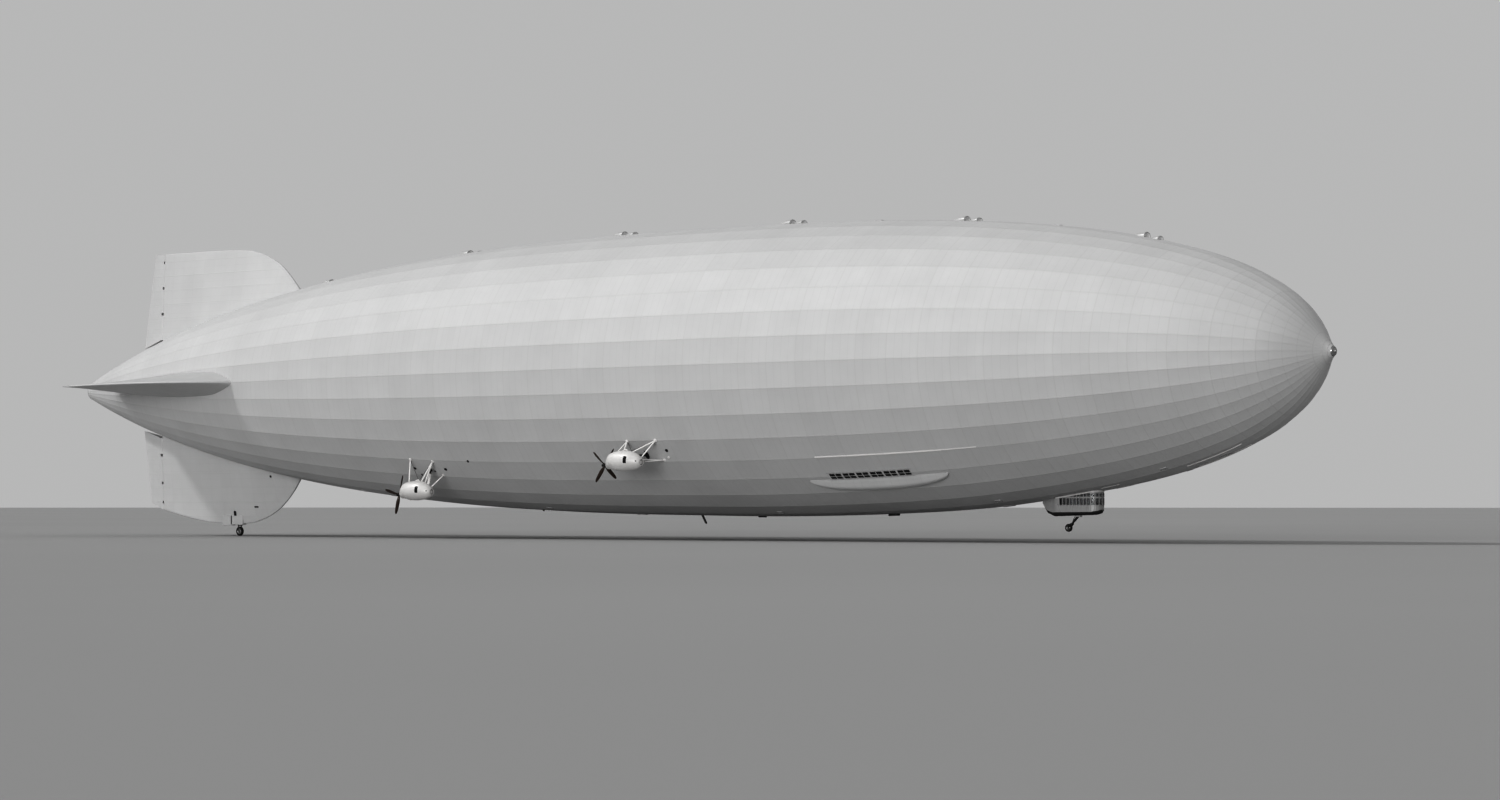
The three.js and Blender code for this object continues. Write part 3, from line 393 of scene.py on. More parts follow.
class Shape:
    """Points, faces and materials of one piece. A face has the shape's own material unless one is given."""

    def __init__(self, material=None):
        self.material = material
        self.points = []
        self.faces = []
        self.materials = []

    def loft(self, rows, wrap=False, ends=False, material=None):
        """A skin through rows of equal point counts, closed round each row and capped if asked."""
        start, count = len(self.points), len(rows[0])
        last = start + (len(rows) - 1) * count
        for row in rows:
            self.points += [tuple(point) for point in row]
        faces = []
        for first in range(start, last, count):
            for j in range(count if wrap else count - 1):
                a, b = first + j, first + (j + 1) % count
                faces.append((a, b, b + count, a + count))
        if ends:
            faces += [tuple(range(start, start + count)), tuple(reversed(range(last, last + count)))]
        self.faces += faces
        self.materials += [material or self.material] * len(faces)

    def solid(self, rows, material=None):
        """A loft that is closed all round."""
        self.loft(rows, True, True, material)

    def turned(self, profile, centre=(0, 0, 0), axis="x", sides=48, material=None):
        """A solid turned about an axis, from rows of distance along it and radius."""
        rows = []
        for along, radius in profile:
            ring = [(radius * c, radius * s) for c, s in circle(sides)]
            rows.append(moved([(u, v, along) if axis == "z" else (along, u, v) for u, v in ring], centre))
        self.solid(rows, material)

    def bar(self, path, chord, thick=1, sides=12, along=(1, 0, 0), material=None):
        """A bar through points, with an oval section.

        Its half chord lies along a direction and is one number or one for each point. Its half thickness is a
        share of that.
        """
        points = [Vector(p) for p in path]
        rows = []
        for i, point in enumerate(points):
            way = (points[min(i + 1, len(points) - 1)] - points[max(i - 1, 0)]).normalized()
            wide = Vector(along) - way * way.dot(Vector(along))
            if wide.length < 1e-3:
                wide = way.orthogonal()
            wide.normalize()
            across = way.cross(wide)
            half = chord[i] if isinstance(chord, (list, tuple)) else chord
            rows.append([point + wide * half * c + across * half * thick * s for c, s in circle(sides)])
        self.solid(rows, material)

    def plate(self, outline, low, high, lift, material=None):
        """A plate with eased edges: lift(u, v, level) gives the place of an outline point at a level."""
        middle = [sum(p[k] for p in outline) / len(outline) for k in (0, 1)]
        rings = [(1, low), (1, high - 0.2 * (high - low))]
        rings += [(share, high) for share in (0.97, 0.66, 0.33, 0.02)]
        rows = []
        for share, level in rings:
            rows.append([lift(middle[0] + (u - middle[0]) * share, middle[1] + (v - middle[1]) * share, level)
                         for u, v in outline])
        self.solid(rows, material)

    def block(self, low, high, bevel, material=None):
        """A box between two corners, with all its edges cut by a share of its least size."""
        cut = bevel * min(b - a for a, b in zip(low, high))
        (x0, y0, z0), (x1, y1, z1) = low, high
        rows = []
        for z, inset in [(z0, cut), (z0 + cut, 0), (z1 - cut, 0), (z1, cut)]:
            a, b, c, d = x0 + inset, x1 - inset, y0 + inset, y1 - inset
            rows.append([(a + cut, c, z), (b - cut, c, z), (b, c + cut, z), (b, d - cut, z), (b - cut, d, z),
                         (a + cut, d, z), (a, d - cut, z), (a, c + cut, z)])
        self.solid(rows, material)

    def bolt(self, place, way, size, material=None):
        """A six-sided bolt head that stands out along a direction."""
        base, way = Vector(place), Vector(way)
        path = [base - way * size, base + way * size * 0.7, base + way * size]
        self.bar(path, [size, size, size * 0.8], sides=6, along=way.orthogonal(), material=material)

    def bolt_ring(self, x, radius, count, size, out=(0, 1), material=None):
        """Bolt heads on a ring about the axis. out is their way: ahead, and away from the axis."""
        for c, s in circle(count):
            self.bolt((x, radius * c, radius * s), (out[0], out[1] * c, out[1] * s), size, material)


def solid_object(name, shape):
    """Makes a shape into an object of the scene, with its faces turned outwards."""
    used = list(dict.fromkeys(shape.materials))
    mesh = bpy.data.meshes.new(name)
    mesh.from_pydata([tuple(SCALE * v for v in point) for point in shape.points], [], shape.faces)
    mesh.polygons.foreach_set("material_index", [used.index(material) for material in shape.materials])
    cleaned = bmesh.new()
    cleaned.from_mesh(mesh)
    bmesh.ops.remove_doubles(cleaned, verts=cleaned.verts, dist=1e-6)
    bmesh.ops.dissolve_degenerate(cleaned, edges=cleaned.edges, dist=1e-7)
    bmesh.ops.recalc_face_normals(cleaned, faces=cleaned.faces)
    cleaned.to_mesh(mesh)
    cleaned.free()
    made = bpy.data.objects.new(name, mesh)
    bpy.context.scene.collection.objects.link(made)
    return made, used


def cut_away(made, cutter):
    """Replaces an object's mesh by what is left of it without another shape."""
    tool, _ = solid_object("cutter", cutter)
    change = made.modifiers.new("cut", "BOOLEAN")
    change.operation = "DIFFERENCE"
    change.solver = "EXACT"
    change.object = tool
    graph = bpy.context.evaluated_depsgraph_get()
    result = bpy.data.meshes.new_from_object(made.evaluated_get(graph))
    made.modifiers.clear()
    made.data = result
    bpy.data.objects.remove(tool)


def piece(name, shape, body="hull", replaces=(), sharp=35, cutter=None):
    """Makes a shape into a finished piece that rides on a body, less another shape if one is given."""
    made, used = solid_object(name, shape)
    if cutter:
        cut_away(made, cutter)
    for material in used:
        made.data.materials.append(material)
    made.data.shade_smooth()
    made.data.set_sharp_from_angle(angle=sharp * DEG)
    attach(made, body)
    if replaces:
        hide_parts(*replaces)
    return made


# Hull skin as a surface that other pieces sit on

def bezier(curve, t):
    weights = ((1 - t) ** 3, 3 * t * (1 - t) ** 2, 3 * t * t * (1 - t), t ** 3)
    return tuple(sum(w * p[k] for w, p in zip(weights, curve)) for k in (0, 1))


HULL_PROFILE = [bezier(TAIL_CURVE, i / HULL_STEPS) for i in range(HULL_STEPS)]
HULL_PROFILE += [bezier(NOSE_CURVE, i / HULL_STEPS) for i in range(HULL_STEPS + 1)]


def hull_radius(x):
    k = next((i for i, (px, _) in enumerate(HULL_PROFILE) if px > x), len(HULL_PROFILE) - 1)
    (xa, ra), (xb, rb) = HULL_PROFILE[k - 1], HULL_PROFILE[k]
    return ra + (rb - ra) * (x - xa) / (xb - xa)


def keel_drop(x):
    """How far the cover hangs lower than a round section at the keel."""
    return through(KEEL_DROP, x) if KEEL_DROP[0][0] < x < KEEL_DROP[-1][0] else 0


def skin_radius(x, angle):
    """Distance of the many-sided skin from the axis, at an angle in degrees above the horizontal."""
    step = 360 / HULL_SIDES
    within = angle % step - step / 2
    keel = keel_drop(x) * max(-sin(angle * DEG), 0) ** 6
    return hull_radius(x) * cos(step / 2 * DEG) / cos(within * DEG) + keel


def on_skin(x, below, side=-1, out=0.0):
    """A point on the hull, below the horizontal by an angle in degrees, on one side of it."""
    radius = skin_radius(x, -below) + out
    return (x, side * radius * cos(below * DEG), -radius * sin(below * DEG))


def under_hull(x, y):
    """Height of the hull's skin near its keel."""
    return -sqrt((hull_radius(x) + keel_drop(x)) ** 2 - y * y)


def skin_disc(shape, x, below, side, half_long, half_tall, out, material, rim=None, square=2):
    """A cover on the skin, round or nearer to a square. A rim stands round it if that has a material."""
    tall = 1 / (hull_radius(x) * DEG)

    def ring(share, level):
        row = []
        for c, s in circle(28):
            u, v = power(c, 2 / square) * half_long * share, power(s, 2 / square) * half_tall * share
            row.append(on_skin(x + u, below + v * tall, side, level))
        return row

    levels = [(1, -0.03), (1, out * 0.8), (0.96, out), (0.65, out), (0.33, out), (0.01, out)]
    shape.solid([ring(*level) for level in levels], material)
    if rim:
        levels = [(1.0, -0.03), (1.02, out * 1.5), (1.1, out * 1.7), (1.2, out * 1.2), (1.24, -0.03)]
        shape.loft([ring(*level) for level in levels], wrap=True, material=rim)


def skin_strip(shape, route, side, half_tall, out):
    """A slim strip along the skin through points of x and angle below the horizontal."""
    section = [(-1, -0.03), (-1, out * 0.7), (-0.6, out), (0.6, out), (1, out * 0.7), (1, -0.03)]
    rows = []
    for x, below in route:
        tall = 1 / (hull_radius(x) * DEG)
        rows.append([on_skin(x, below + v * half_tall * tall, side, level) for v, level in section])
    shape.solid(rows)


# Materials

class Finish:
    """A node material, with short ways to write its colour, roughness and bump."""

    def __init__(self, name, metallic=0.0, coat=0.0, specular=0.5):
        self.material = bpy.data.materials.new(name)
        self.material.use_nodes = True
        self.tree = self.material.node_tree
        self.shader = self.tree.nodes["Principled BSDF"]
        self.shader.inputs["Metallic"].default_value = metallic
        self.shader.inputs["Coat Weight"].default_value = coat
        self.shader.inputs["Specular IOR Level"].default_value = specular
        self.place = self.tree.nodes.new("ShaderNodeTexCoord").outputs["Object"]

    def node(self, kind, sockets, **settings):
        """A node with its sockets linked or set, by name or number, and its settings."""
        made = self.tree.nodes.new("ShaderNode" + kind)
        for name, value in settings.items():
            setattr(made, name, value)
        for socket, value in sockets.items():
            self.link(value, made.inputs[socket])
        return made

    def link(self, value, socket):
        if isinstance(value, bpy.types.NodeSocket):
            self.tree.links.new(value, socket)
        else:
            socket.default_value = value

    def math(self, operation, *values):
        return self.node("Math", dict(enumerate(values)), operation=operation).outputs[0]

    def axes(self):
        return self.node("SeparateXYZ", {0: self.place}).outputs

    def stretched(self, scale):
        return self.node("Mapping", {"Scale": scale, "Vector": self.place}).outputs[0]

    def noise(self, scale, detail=3.0, place=None):
        sockets = {"Scale": scale, "Detail": detail, "Roughness": 0.55, "Vector": place or self.place}
        return self.node("TexNoise", sockets).outputs[0]

    def cell(self, *values):
        """A random number for each whole-numbered cell."""
        joined = self.node("CombineXYZ", dict(enumerate(values)))
        return self.node("TexWhiteNoise", {"Vector": joined.outputs[0]}, noise_dimensions="3D").outputs[0]

    def spread(self, value, low, high):
        """A number from 0 to 1 mapped to a range."""
        return self.node("MapRange", {0: value, 3: low, 4: high}).outputs[0]

    def ramp(self, value, *stops):
        """Colours at places from 0 to 1."""
        made = self.node("ValToRGB", {0: value})
        for element, (place, colour) in zip(made.color_ramp.elements, stops):
            element.position = place
            element.color = (*colour, 1)
        return made.outputs[0]

    def mix(self, share, first, second):
        return self.node("Mix", {0: share, 6: first, 7: second}, data_type="RGBA").outputs[2]

    def from_line(self, value, pitch):
        """How far a value is from the middle between two lines, as a share of the pitch from line to line."""
        phase = self.math("FRACT", self.math("DIVIDE", value, pitch))
        return self.math("ABSOLUTE", self.math("SUBTRACT", phase, 0.5))

    def sharp_lines(self, value, pitch, half):
        """1 within a half width of lines at each multiple of a pitch, and 0 elsewhere."""
        return self.math("GREATER_THAN", self.from_line(value, pitch), 0.5 - half / pitch)

    def soft_lines(self, value, pitch, half):
        """Like sharp_lines, but it rises smoothly to 1 at each line."""
        sockets = {0: self.from_line(value, pitch), 1: 0.5 - half / pitch, 2: 0.5}
        return self.node("MapRange", sockets, interpolation_type="SMOOTHSTEP").outputs[0]

    def bump(self, height, distance, strength, under=None):
        sockets = {"Strength": strength, "Distance": distance, "Height": height}
        if under is not None:
            sockets["Normal"] = under
        return self.node("Bump", sockets).outputs[0]

    def set(self, colour, roughness, bump=None):
        self.link(colour, self.shader.inputs["Base Color"])
        self.link(roughness, self.shader.inputs["Roughness"])
        if bump is not None:
            self.link(bump, self.shader.inputs["Normal"])
        return self.material


def grey(value, tint=0.0):
    """A grey that is a little warmer for a tint above 0, and cooler for one below."""
    return (value * (1 + tint), value, value * (1 - tint), 1)


# Shares of the seams and girder lines in the cloth's colour, and the range that each panel's tone varies in
DOPE = {"dark": (0.56,) * 3, "light": (0.65,) * 3, "metallic": 0.15, "rough": (0.62, 0.74),
        "panels": 0.05, "seams": 0.14, "girders": 0.10}


def doped_cloth(name, lines):
    """Aluminium-doped cotton. lines(finish) gives its seam and girder lines and a number for each panel."""
    finish = Finish(name, metallic=DOPE["metallic"])
    seams, girders, panel = lines(finish)
    cloudy = finish.noise(1.6, 4)
    weather = finish.noise(0.9, 5, finish.stretched((2.2, 0.5, 0.5)))
    panel_tone = finish.spread(panel, -DOPE["panels"], DOPE["panels"])
    tone = finish.math("ADD", panel_tone, finish.spread(cloudy, 0.3, 0.8))
    tone = finish.math("ADD", tone, finish.spread(weather, -0.2, 0.2))
    colour = finish.ramp(tone, (0.1, DOPE["dark"]), (0.95, DOPE["light"]))
    colour = finish.mix(finish.math("MULTIPLY", seams, DOPE["seams"]), colour, grey(0.42))
    colour = finish.mix(finish.math("MULTIPLY", girders, DOPE["girders"]), colour, grey(0.5, 0.01))
    rough = finish.spread(finish.noise(7), *DOPE["rough"])
    weave = finish.bump(finish.noise(420, 2), 0.0004, 0.25)
    ridges = finish.math("ADD", girders, finish.math("MULTIPLY", seams, 0.4))
    return finish.set(colour, rough, finish.bump(ridges, 0.0016, 0.5, weave))


def hull_lines(finish):
    """Gores every frame and every strip of cloth, and a girder line on each edge of the many-sided hull."""
    x, y, z = finish.axes()
    angle = finish.math("DIVIDE", finish.math("ARCTAN2", z, y), DEG * 360 / HULL_SIDES)
    squares = [finish.math("MULTIPLY", value, value) for value in (y, z)]
    reach = finish.math("SQRT", finish.math("ADD", *squares))
    strip = finish.sharp_lines(x, GORE_PITCH * SCALE, 0.03 * SCALE)
    ring = finish.soft_lines(x, FRAME_PITCH * SCALE, 0.14 * SCALE)
    beside = finish.math("MULTIPLY", finish.math("SUBTRACT", 0.5, finish.from_line(angle, 1)), reach)
    edge = finish.math("LESS_THAN", beside, 0.11 * SCALE * HULL_SIDES / (2 * pi))
    bay = finish.math("FLOOR", finish.math("DIVIDE", x, FRAME_PITCH * SCALE))
    return strip, finish.math("MAXIMUM", ring, edge), finish.cell(bay, finish.math("FLOOR", angle), 3.0)


def flat_lines(across):
    """Ribs and girders of a fin or rudder. Girders are spaced along axis 2 if it stands, and 1 if it lies."""
    def lines(finish):
        axes = finish.axes()
        x, span = axes[0], axes[across]
        ribs = finish.soft_lines(x, RIB_PITCH * SCALE, 0.1 * SCALE)
        girders = finish.soft_lines(span, GIRDER_PITCH * SCALE, 0.1 * SCALE)
        strips = finish.sharp_lines(span, GORE_PITCH * SCALE, 0.02 * SCALE)
        cells = [finish.math("FLOOR", finish.math("DIVIDE", value, pitch * SCALE))
                 for value, pitch in [(x, RIB_PITCH), (span, GIRDER_PITCH)]]
        return strips, finish.math("MAXIMUM", ribs, girders), finish.cell(*cells, 5.0)

    return lines


def sheet_metal(name, low, high, metallic, rough, tint=0.0, streak=0.0):
    """Painted or bare sheet metal: cloudy colour, fine scratches and a little dirt that runs back along X."""
    finish = Finish(name, metallic=metallic)
    runs = finish.noise(5, 4, finish.stretched((0.7, 6, 6)))
    colour = finish.mix(finish.noise(9, 4), grey(low, tint), grey(high, tint))
    dirt = finish.math("MULTIPLY", finish.spread(runs, -0.4, 1.0), streak)
    colour = finish.mix(dirt, colour, grey(0.12, 0.1))
    marks = finish.noise(160, 2, finish.stretched((0.3, 3, 3)))
    return finish.set(colour, finish.spread(finish.noise(30), *rough), finish.bump(marks, 0.0005, 0.15))


def varnished_wood(name):
    finish = Finish(name, coat=0.35)
    grain = finish.noise(60, 5, finish.stretched((6, 1, 1)))
    layers = finish.noise(26, 1, finish.stretched((9, 0.6, 0.6)))
    colour = finish.ramp(grain, (0.3, (0.030, 0.018, 0.012)), (0.7, (0.075, 0.045, 0.028)))
    colour = finish.mix(finish.spread(layers, 0, 0.5), colour, (0.02, 0.012, 0.008, 1))
    return finish.set(colour, finish.spread(grain, 0.25, 0.42), finish.bump(grain, 0.0004, 0.2))


def rough_stuff(name, specular, noise, dark, light, rough, grit, bump, metallic=0.0, rough_by_grit=False):
    """Rubber, cast iron or rubbered cloth: a noise for its colour and a finer one, its grit, for its bump."""
    finish = Finish(name, metallic=metallic, specular=specular)
    tone, fine = finish.noise(*noise), finish.noise(*grit)
    colour = finish.ramp(tone, dark, light)
    roughness = finish.spread(fine if rough_by_grit else tone, *rough)
    return finish.set(colour, roughness, finish.bump(fine, *bump))


def window_glass(name, see_through, tone):
    finish = Finish(name)
    finish.shader.inputs["Transmission Weight"].default_value = see_through
    finish.shader.inputs["IOR"].default_value = 1.45
    smear = finish.noise(24)
    colour = finish.mix(smear, (*tone, 1), tuple(0.8 * v for v in tone) + (1,))
    return finish.set(colour, finish.spread(smear, 0.03, 0.1), finish.bump(smear, 0.0003, 0.1))


hull_cloth = doped_cloth("doped_cloth_hull", hull_lines)
upright_cloth = doped_cloth("doped_cloth_upright", flat_lines(2))
level_cloth = doped_cloth("doped_cloth_level", flat_lines(1))
silver_metal = sheet_metal("silver_sheet", 0.50, 0.62, 0.3, (0.42, 0.55), streak=0.12)
car_paint = sheet_metal("car_paint", 0.66, 0.76, 0.08, (0.38, 0.5), tint=0.01, streak=0.2)
strut_paint = sheet_metal("strut_paint", 0.76, 0.86, 0.05, (0.4, 0.5), tint=0.01, streak=0.1)
# The control car's silver paint, darker than the other silver paints: painted shade of the hull above it
cabin_shade_paint = sheet_metal("cabin_shade_paint", 0.42, 0.5, 0.2, (0.42, 0.55), streak=0.15)
# Paint inside the hoods' throats, lighter than their metal: painted light in their shaded insides
throat_light_paint = sheet_metal("throat_light_paint", 0.78, 0.88, 0.0, (0.5, 0.65), streak=0.1)
bare_steel = sheet_metal("bare_steel", 0.38, 0.5, 0.95, (0.25, 0.42), streak=0.15)
dark_steel = sheet_metal("dark_steel", 0.05, 0.09, 0.8, (0.35, 0.55), streak=0.1)
# Near-black paint: painted shadow on hatches and fairings that lie in shade
shadow_paint = sheet_metal("shadow_paint", 0.012, 0.02, 0.0, (0.6, 0.8))
wood = varnished_wood("varnished_wood")
rubber = rough_stuff("dark_rubber", 0.3, (40, 4), (0.35, (0.018, 0.018, 0.018)), (0.8, (0.055, 0.053, 0.05)),
                     (0.7, 0.9), (500, 2), (0.0004, 0.4))
iron = rough_stuff("cast_iron", 0.5, (12, 4), (0.3, (0.06, 0.058, 0.056)), (0.75, (0.16, 0.15, 0.14)),
                   (0.45, 0.7), (260, 3), (0.001, 0.5), metallic=0.7, rough_by_grit=True)
bumper_cloth = rough_stuff("rubbered_cloth", 0.35, (14, 4), (0.3, (0.028, 0.028, 0.029)),
                           (0.75, (0.06, 0.059, 0.057)), (0.55, 0.75), (380, 2), (0.0005, 0.4))
# Opaque near-black glass: painted shade of the dark insides behind panes and openings
shade_glass = window_glass("shade_glass", 0.0, (0.018, 0.018, 0.019))
clear_glass = window_glass("clear_glass", 0.85, (0.52, 0.53, 0.54))


# Hull

def cover_dip(x, share):
    """How far the cloth lies under the flat panel, at a share of its width from one girder to the next."""
    along = sin(pi * (x / FRAME_PITCH % 1))
    return PANEL_SAG * sin(pi * share) * (0.35 + 0.65 * along) * clamp(hull_radius(x) / SAG_FULL_RADIUS)


def hull_cover():
    """The cover from stern to nose, each of whose panels dips a little between girders and frames.

    It has every point of the profile near the ends, so that they stay round, and four stations in each bay
    between.
    """
    stations = [x for x, _ in HULL_PROFILE if x < COVER_ENDS[0] or x > COVER_ENDS[1]]
    pitch = FRAME_PITCH / 4
    count = int((COVER_MIDDLE[1] - COVER_MIDDLE[0]) / pitch)
    stations += [COVER_MIDDLE[0] + pitch * i for i in range(count + 1)]
    rows = []
    for x in sorted(stations):
        row = []
        for k in range(HULL_SIDES * PANEL_STEPS):
            angle = 360 / HULL_SIDES * k / PANEL_STEPS
            reach = skin_radius(x, angle) - cover_dip(x, k % PANEL_STEPS / PANEL_STEPS)
            row.append((x, reach * cos(angle * DEG), reach * sin(angle * DEG)))
        rows.append(row)
    shape = Shape(hull_cloth)
    shape.solid(rows)
    piece("hull_cover", shape, replaces=["envelope"], sharp=7)


def stern_and_nose():
    stern = Shape(silver_metal)
    profile = [(STERN_X + ahead, radius) for ahead, radius in STERN_RIM]
    dome = STERN_DOME
    for i in range(dome["steps"] + 1):
        turn = i / dome["steps"] * pi / 2
        radius = STERN_RADIUS * cos(turn) ** 0.8 if i < dome["steps"] else 0
        profile.append((STERN_X - dome["deep"] * sin(turn), radius))
    stern.turned(profile, sides=END_SIDES)
    stern.turned([(STERN_X + ahead, radius) for ahead, radius in STERN_LIGHT], material=clear_glass)
    stern.bolt_ring(STERN_X + 0.03, STERN_RADIUS, dome["bolts"], dome["bolt"], material=bare_steel)
    piece("stern_fairing", stern, replaces=["stern_cap"])

    nose = Shape(bare_steel)
    nose.turned([(NOSE_X + ahead, radius) for ahead, radius in NOSE_SPINDLE], sides=END_SIDES)
    bolts = NOSE_BOLTS
    nose.bolt_ring(NOSE_X + bolts["x"], bolts["radius"], bolts["count"], bolts["size"], (1, 0), dark_steel)
    piece("nose_mooring_spindle", nose, replaces=["nose_mooring_cone"])

    plating = Shape(hull_cloth)
    start, end, out = NOSE_X + PLATING["from"], NOSE_X + PLATING["to"], PLATING["out"]
    rows = []
    for x, lift in [(start - 0.03, -0.05), (start, 0.03)] + [(x, out) for x in between(start, end, 9)[1:]]:
        reach = hull_radius(x) + lift
        rows.append([(x, reach * c, reach * s) for c, s in circle(END_SIDES)])
    plating.loft(rows, wrap=True)
    for ahead in PLATING["laps"]:
        x = NOSE_X + ahead
        reach = hull_radius(x) + 0.05
        plating.turned([(x + along, reach + lift) for along, lift in LAP], sides=END_SIDES)
        plating.bolt_ring(x, reach + 0.015, PLATING["bolts"], PLATING["bolt"])
    piece("nose_plating", plating)


# Fins

def fin_half(root, root_half, reach, h):
    """Half thickness of a fin at a height: it thins evenly from its root on the hull to its rim."""
    return root_half + (FIN_RIM_HALF - root_half) * (h - root) / (reach - root)


def nose_radius(h, reach):
    """Radius of a rudder's rounded front at a height, where its fin reaches that far at the hinge."""
    return fin_half(hull_radius(HINGE_X), FIN_ROOT_AT_HINGE, reach, h) - RUDDER_INSET


def fin_levels(table, x):
    """Heights of a slice across a fin: its lowest point, root, start of the rim's round, and rim."""
    reach = through(table, x, 1)
    low = hull_radius(x) - FIN_DEPTH
    shoulder = reach - min(FIN_RIM_HALF * FIN_TIP_ROUND, reach - low - 0.1)
    return low, min(hull_radius(x), (low + shoulder) / 2), shoulder, reach


def fin_side(table, x, h):
    """Half thickness of a fin at a place on its side."""
    _, root, shoulder, reach = fin_levels(table, x)
    root_half = through(table, x, 2)
    if h <= shoulder:
        return fin_half(root, root_half, reach, max(h, root))
    round_by = clamp((h - shoulder) / (reach - shoulder))
    return fin_half(root, root_half, reach, shoulder) * sqrt(1 - round_by * round_by)


def fin_station(table, x):
    """One slice across a fin: its right side from the root up, round the rim and down the left side."""
    low, _, shoulder, reach = fin_levels(table, x)
    right = []
    for h in between(low, shoulder, FIN_LEVELS):
        fade = clamp((shoulder - h) / SAG_FADE[0]) * clamp((h - low) / SAG_FADE[1])
        dip = FIN_SAG * fade * sin(pi * (x / RIB_PITCH % 1)) * sin(pi * (h / GIRDER_PITCH % 1))
        right.append((h, fin_side(table, x, h) - dip))
    for i in range(1, FIN_TIP_STEPS + 1):
        h = shoulder + (reach - shoulder) * sin(i / FIN_TIP_STEPS * pi / 2)
        right.append((h, fin_side(table, x, h) if i < FIN_TIP_STEPS else 0))
    return [(x, y, h) for h, y in right] + [(x, -y, h) for h, y in reversed(right[:-1])]


def groove_x(h, half, reach):
    """Where the fin's skin ends ahead of the hinge, at a height and half thickness."""
    radius = nose_radius(h, reach) + RUDDER_GAP
    return HINGE_X + max(GROOVE_LIP * nose_radius(h, reach), sqrt(max(radius * radius - half * half, 0)))


def fin_groove(row, reach):
    """The hollow behind a fin that the rudder's rounded front turns in, across from one skin to the other."""
    rows = []
    for j in range(len(row) // 2 + 1):
        x, y, h = row[j]
        radius = nose_radius(h, reach) + RUDDER_GAP
        lip = min(abs(y), sqrt(max(radius * radius - (x - HINGE_X) ** 2, 0)))
        across = [copysign(lip, y) * cos(pi * k / GROOVE_STEPS) for k in range(GROOVE_STEPS + 1)]
        arc = [(HINGE_X + sqrt(max(radius * radius - v * v, 0)), v, h) for v in across]
        rows.append([row[j], *arc, row[len(row) - 1 - j]])
    return rows


def fin_skin(shape, table):
    front, reach = table[-1][0], table[0][1]
    start = HINGE_X + FIN_ROOT_AT_HINGE
    shares = [ease(t) * 0.35 + t * 0.65 for t in between(0, 1, FIN_STATIONS)]
    rear = [(groove_x(h, abs(y), reach), y, h) for _, y, h in fin_station(table, HINGE_X)]
    rows = [rear] + [fin_station(table, start + (front - start) * share) for share in shares]
    shape.loft(rows)
    shape.loft(fin_groove(rear, reach))
    shape.loft([[row[0], row[-1]] for row in rows])
    # The foremost slice lies under the hull's skin and closes the fin
    half = len(rows[-1]) // 2
    shape.loft([rows[-1][: half + 1], list(reversed(rows[-1][half:]))])


def hinge_arms(shape, spec):
    """Arms from the fin to the eyes that the rudder's pins turn in."""
    arm, eye, bore, half = HINGE["arm_half"], HINGE["eye"], HINGE["bore"], HINGE["tall"] / 2
    section = [(-1, bore), (-1, eye * 0.9), (-0.8, eye), (0.8, eye), (1, eye * 0.9), (1, bore), (-1, bore)]
    for h in spec["hinges"]:
        low, high = (HINGE_X + eye * 0.8, -arm, h - half), (HINGE_X + HINGE["reach"], arm, h + half)
        shape.block(low, high, 0.2, bare_steel)
        rows = [[(HINGE_X + r * c, r * s, h + half * up) for c, s in circle(HINGE["sides"])]
                for up, r in section]
        shape.loft(rows, wrap=True, material=bare_steel)


def rounded_square(corner, steps=5):
    """A unit square with round corners, as points from -1 to 1, some of them along its straight edges."""
    points = []
    inner = 1 - corner
    for quarter, (a, b) in enumerate([(1, 1), (-1, 1), (-1, -1), (1, -1)]):
        for i in range(steps + 1):
            turn = (quarter + i / steps) * pi / 2
            points.append((a * inner + corner * cos(turn), b * inner + corner * sin(turn)))
        (u, v), (du, dv) = points[-1], (-sin(turn), cos(turn))
        points += [(u + du * 2 * inner * share, v + dv * 2 * inner * share) for share in (0.2, 0.4, 0.6, 0.8)]
    return points


def patch(shape, place, half, corner, low, high, lift, material=None):
    """A plate with round corners, from its middle and its half sizes in the two directions of lift."""
    outline = [(place[0] + half[0] * a, place[1] + half[1] * b) for a, b in rounded_square(corner)]
    shape.plate(outline, low, high, lift, material)


def lower_fin_fittings(shape, table):
    """The keel blocks, and openings on each side. This fin is drawn upside down: heights count downwards."""
    wide = TAIL_KEEL["half"]
    for start, end, bottom in TAIL_KEEL["blocks"]:
        shape.block((start, -wide, -TAIL_KEEL["top"]), (end, wide, -bottom), TAIL_KEEL["bevel"])
    for side in (1, -1):
        def lift(u, v, level):
            return (u, side * (fin_side(table, u, v) + level), v)

        for x, h, half_long, half_tall in LOWER_FIN_OPENINGS:
            frame_half = (half_long + OPENING_FRAME, half_tall + OPENING_FRAME)
            patch(shape, (x, h), frame_half, 0.4, -0.04, 0.03, lift, bare_steel)
            # The opening's near-black pane is painted shade
            patch(shape, (x, h), (half_long, half_tall), 0.4, -0.02, 0.045, lift, shade_glass)


def tail_cloth(turn):
    return upright_cloth if turn % 180 == 0 else level_cloth


def fins():
    for name, table, _, spec, turn in TAIL:
        shape = Shape(tail_cloth(turn))
        fin_skin(shape, table)
        hinge_arms(shape, spec)
        if name == "lower_fin":
            lower_fin_fittings(shape, table)
        shape.points = turn_x(shape.points, turn)
        piece(f"{name}_cover", shape, replaces=[name], sharp=FIN_SHARP)


# Rudders and elevators

def rudder_row(h, reach, rise, trail, sag):
    """One level of a rudder, drawn in by the sag between its ribs."""
    radius = nose_radius(h, reach)
    turns = [t / RUDDER_FRONT_STEPS * pi / 2 for t in range(RUDDER_FRONT_STEPS)]
    right = [(HINGE_X + radius * cos(turn), radius * sin(turn)) for turn in turns]
    for share in between(0, 1, RUDDER_SIDE_STEPS):
        half = radius + (RUDDER_TAIL_HALF - radius) * share
        right.append((HINGE_X + (trail - HINGE_X) * share, half - sag * sin(pi * share)))
    outline = right + [(x, -y) for x, y in reversed(right[1:])]
    return [(x, y, h - rise * max(HINGE_X - x, 0)) for x, y in outline]


